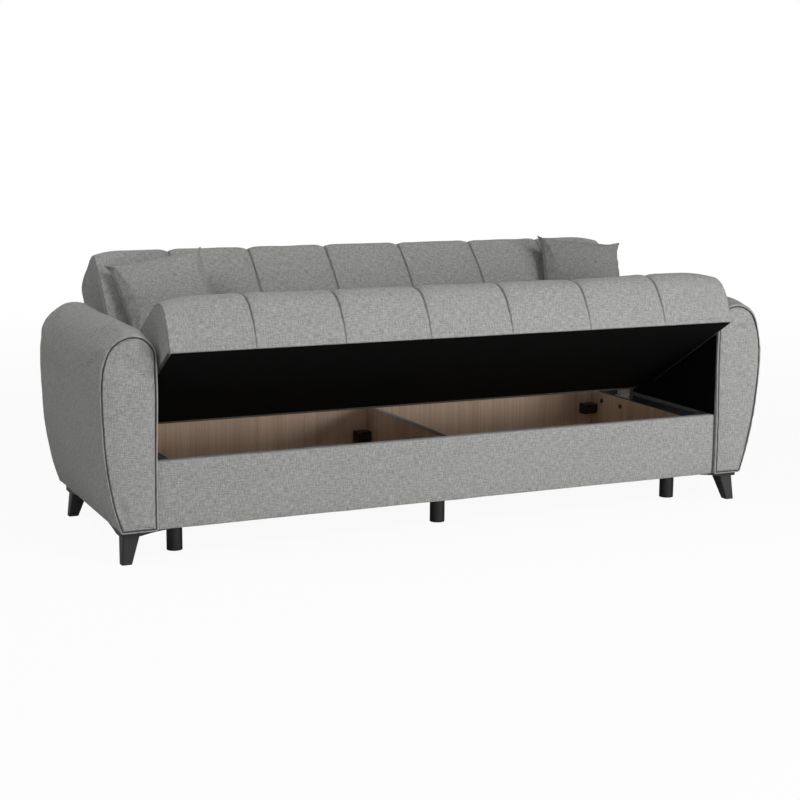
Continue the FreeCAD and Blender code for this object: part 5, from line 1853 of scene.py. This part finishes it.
@dataclass(frozen=True)
class Studio:
    """Camera, floor and soft lights."""

    place: tuple[float, float, float] = (-2.2288, -4.8165, 1.2692)
    yaw: float = 0.4324
    pitch: float = 0.1726
    roll: float = 0.0063
    lens: float = 73.944
    soft: float = 0.08
    floor_glow: tuple[float, float] = (0.94, 0.06)
    fade: tuple[float, float] = (4.0, 2.6)
    lamps: tuple[Lamp, ...] = (
        Lamp("key", (2.6, -4.8, 0.75), (0.0, -0.3, 0.5), 1.4, 110.0),
        Lamp("front", (0.8, -3.6, 3.2), (0.0, 0.0, 0.5), 1.6, 97.0),
        Lamp("left", (-2.6, -0.2, 2.8), (-0.3, 0.0, 0.5), 1.5, 33.0),
        Lamp("fill", (-1.5, -5.2, 0.7), (0.0, -0.3, 0.5), 1.4, 29.0),
        Lamp("rear", (-0.5, 1.6, 3.0), (0.0, 0.0, 0.5), 2.0, 6.0),
    )

    def camera(self) -> None:
        """Put the camera where the photograph was taken from."""
        ahead = Vector(
            (
                math.sin(self.yaw) * math.cos(self.pitch),
                math.cos(self.yaw) * math.cos(self.pitch),
                -math.sin(self.pitch),
            )
        )
        right = Vector((math.cos(self.yaw), -math.sin(self.yaw), 0.0))
        above = right.cross(ahead)
        turned_right = right * math.cos(self.roll) + above * math.sin(self.roll)
        turned_up = above * math.cos(self.roll) - right * math.sin(self.roll)
        axes = Matrix((turned_right, turned_up, -ahead)).transposed().to_4x4()
        data = bpy.data.cameras.new("camera")
        data.lens = self.lens
        data.sensor_width = 36.0
        data.clip_end = 60.0
        camera = bpy.data.objects.new("camera", data)
        camera.matrix_world = Matrix.Translation(self.place) @ axes
        bpy.context.scene.collection.objects.link(camera)
        bpy.context.scene.camera = camera

    def floor(self) -> None:
        """A pale floor that keeps the sofa's soft shadow."""
        deselect()
        bpy.ops.mesh.primitive_plane_add(size=60.0, location=(0, 0, 0))
        floor = bpy.context.object
        floor.name = "studio_floor"
        s = Shader("studio_floor")
        pale = s.noise(s.place((2, 2, 2)))
        colour = s.blend(pale, (0.79, 0.79, 0.79), (0.82, 0.82, 0.82))
        seen = s.node("ShaderNodeLightPath", output="Is Camera Ray")
        glow = s.node("ShaderNodeEmission", None, {"Color": (1, 1, 1, 1), "Strength": 1.0})
        matt = s.node("ShaderNodeBsdfDiffuse", None, {"Color": colour})
        where = s.node("ShaderNodeTexCoord", output="Object")
        away = s.node("ShaderNodeVectorMath", {"operation": "LENGTH"}, {0: where}, 1)
        near, more = self.floor_glow
        share = seen * (away.above(*self.fade) * more + near)
        mixed = s.node("ShaderNodeMixShader", None, {0: share, 1: matt, 2: glow})
        s.node("ShaderNodeOutputMaterial", None, {"Surface": mixed}, None)
        floor.data.materials.append(s.material)

    def world(self) -> None:
        """Even soft light, white where the camera, gloss or glass looks past the sofa."""
        world = bpy.data.worlds.new("studio")
        bpy.context.scene.world = world
        world.use_nodes = True
        tree = world.node_tree
        tree.nodes.clear()
        path = tree.nodes.new("ShaderNodeLightPath")
        sums = []
        for output in ("Is Glossy Ray", "Is Transmission Ray"):
            add = tree.nodes.new("ShaderNodeMath")
            add.operation = "MAXIMUM"
            previous = sums[-1].outputs[0] if sums else path.outputs["Is Camera Ray"]
            tree.links.new(previous, add.inputs[0])
            tree.links.new(path.outputs[output], add.inputs[1])
            sums.append(add)
        soft = tree.nodes.new("ShaderNodeBackground")
        soft.inputs["Color"].default_value = (1.0, 1.0, 1.0, 1.0)
        soft.inputs["Strength"].default_value = self.soft
        white = tree.nodes.new("ShaderNodeBackground")
        white.inputs["Strength"].default_value = 1.0
        white.inputs["Color"].default_value = (1.0, 1.0, 1.0, 1.0)
        mix = tree.nodes.new("ShaderNodeMixShader")
        out = tree.nodes.new("ShaderNodeOutputWorld")
        tree.links.new(sums[-1].outputs[0], mix.inputs[0])
        tree.links.new(soft.outputs[0], mix.inputs[1])
        tree.links.new(white.outputs[0], mix.inputs[2])
        tree.links.new(mix.outputs[0], out.inputs["Surface"])

    def build(self) -> None:
        """Set up the whole studio."""
        scene = bpy.context.scene
        scene.view_settings.view_transform = "Standard"
        self.camera()
        self.floor()
        self.world()
        for lamp in self.lamps:
            lamp.build()


def main() -> None:
    """Build the sofa's looks around the frame."""
    logging.basicConfig(level=logging.INFO, format="%(message)s")
    finishes = Finishes()
    Studio().build()
    by_slot = {
        "grey_linen": finishes.linen,
        "pillow_linen": finishes.pillow,
        "black_cloth": finishes.black_cloth,
        "piping_cloth": finishes.piping,
        "foam": finishes.felt,
        "laminate": finishes.laminate,
        "timber": finishes.timber,
        "slate_edge": finishes.slate,
        "black_plastic": finishes.plastic,
        "zinc_steel": finishes.zinc,
        "dark_steel": finishes.dark_steel,
    }
    slots = {part["node"]: part["material_slot"] for part in frame["record"]["subparts"]}
    for name, node in frame["nodes"].items():
        node.data.materials.clear()
        node.data.materials.append(by_slot[slots[name]])
    seat = SeatCushion("seat_padding", Body.SEAT, 0.938, SEAT_ANGLE, 0.878, 0.9305)
    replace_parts(seat.build(finishes.linen), "seat_cushion")
    back = BackCushion("back_padding", Body.BACK, 0.934, BACK_ANGLE, 0.874, 0.8945, seed=21)
    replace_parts(back.build(finishes.linen), "back_cushion")
    for side in Side:
        Arm(side, finishes).build()
    # The left pillow wears the lighter grey linen as a painted highlight for the light it faces; the
    # right one wears the darker pillow linen
    Pillow(Side.LEFT, (-0.7439, -0.0943, 0.2105), -7.5, -6.7, 0.0, 5).build(finishes.linen)
    Pillow(Side.RIGHT, (0.7597, -0.0933, 0.2152), -3.8, 9.4, 8.0, 15).build(finishes.pillow)
    Rail().build(finishes.linen)
    Panel(
        name="dust_cloth",
        node="seat_dust_cover",
        body=Body.SEAT,
        size=(1.858, 0.551),
        thickness=0.001,
        slack=0.0004,
        seed=101,
        tilt=180.0,
        centre=(0.0, -0.3020, -0.1718),
        degrees=SEAT_ANGLE,
        cut=(0.8845, 0.060),
    ).build(finishes.black_cloth, "black_cloth")
    Panel(
        name="back_rear_cloth",
        node="back_rear_cover",
        body=Body.BACK,
        size=(1.786, 0.210),
        thickness=0.001,
        slack=0.0012,
        seed=103,
        tilt=-90.0,
        centre=(0.0, 0.166, 0.131),
        degrees=BACK_ANGLE,
    ).build(finishes.linen, "grey_linen")
    Panel(
        name="box_rear_cloth",
        node="rear_cloth_panel",
        body=Body.BASE,
        size=(1.899, 0.186),
        thickness=0.0012,
        slack=0.001,
        seed=105,
        tilt=-90.0,
        centre=(0.0, 0.287, 0.190),
    ).build(finishes.black_cloth, "black_cloth")
    SpringPads("seat_springs", "seat_spring_blocks", Body.SEAT, SEAT_ANGLE).build(finishes.felt)
    SpringPads("back_springs", "back_spring_blocks", Body.BACK, BACK_ANGLE).build(finishes.felt)


if __name__ == "__main__":
    main()
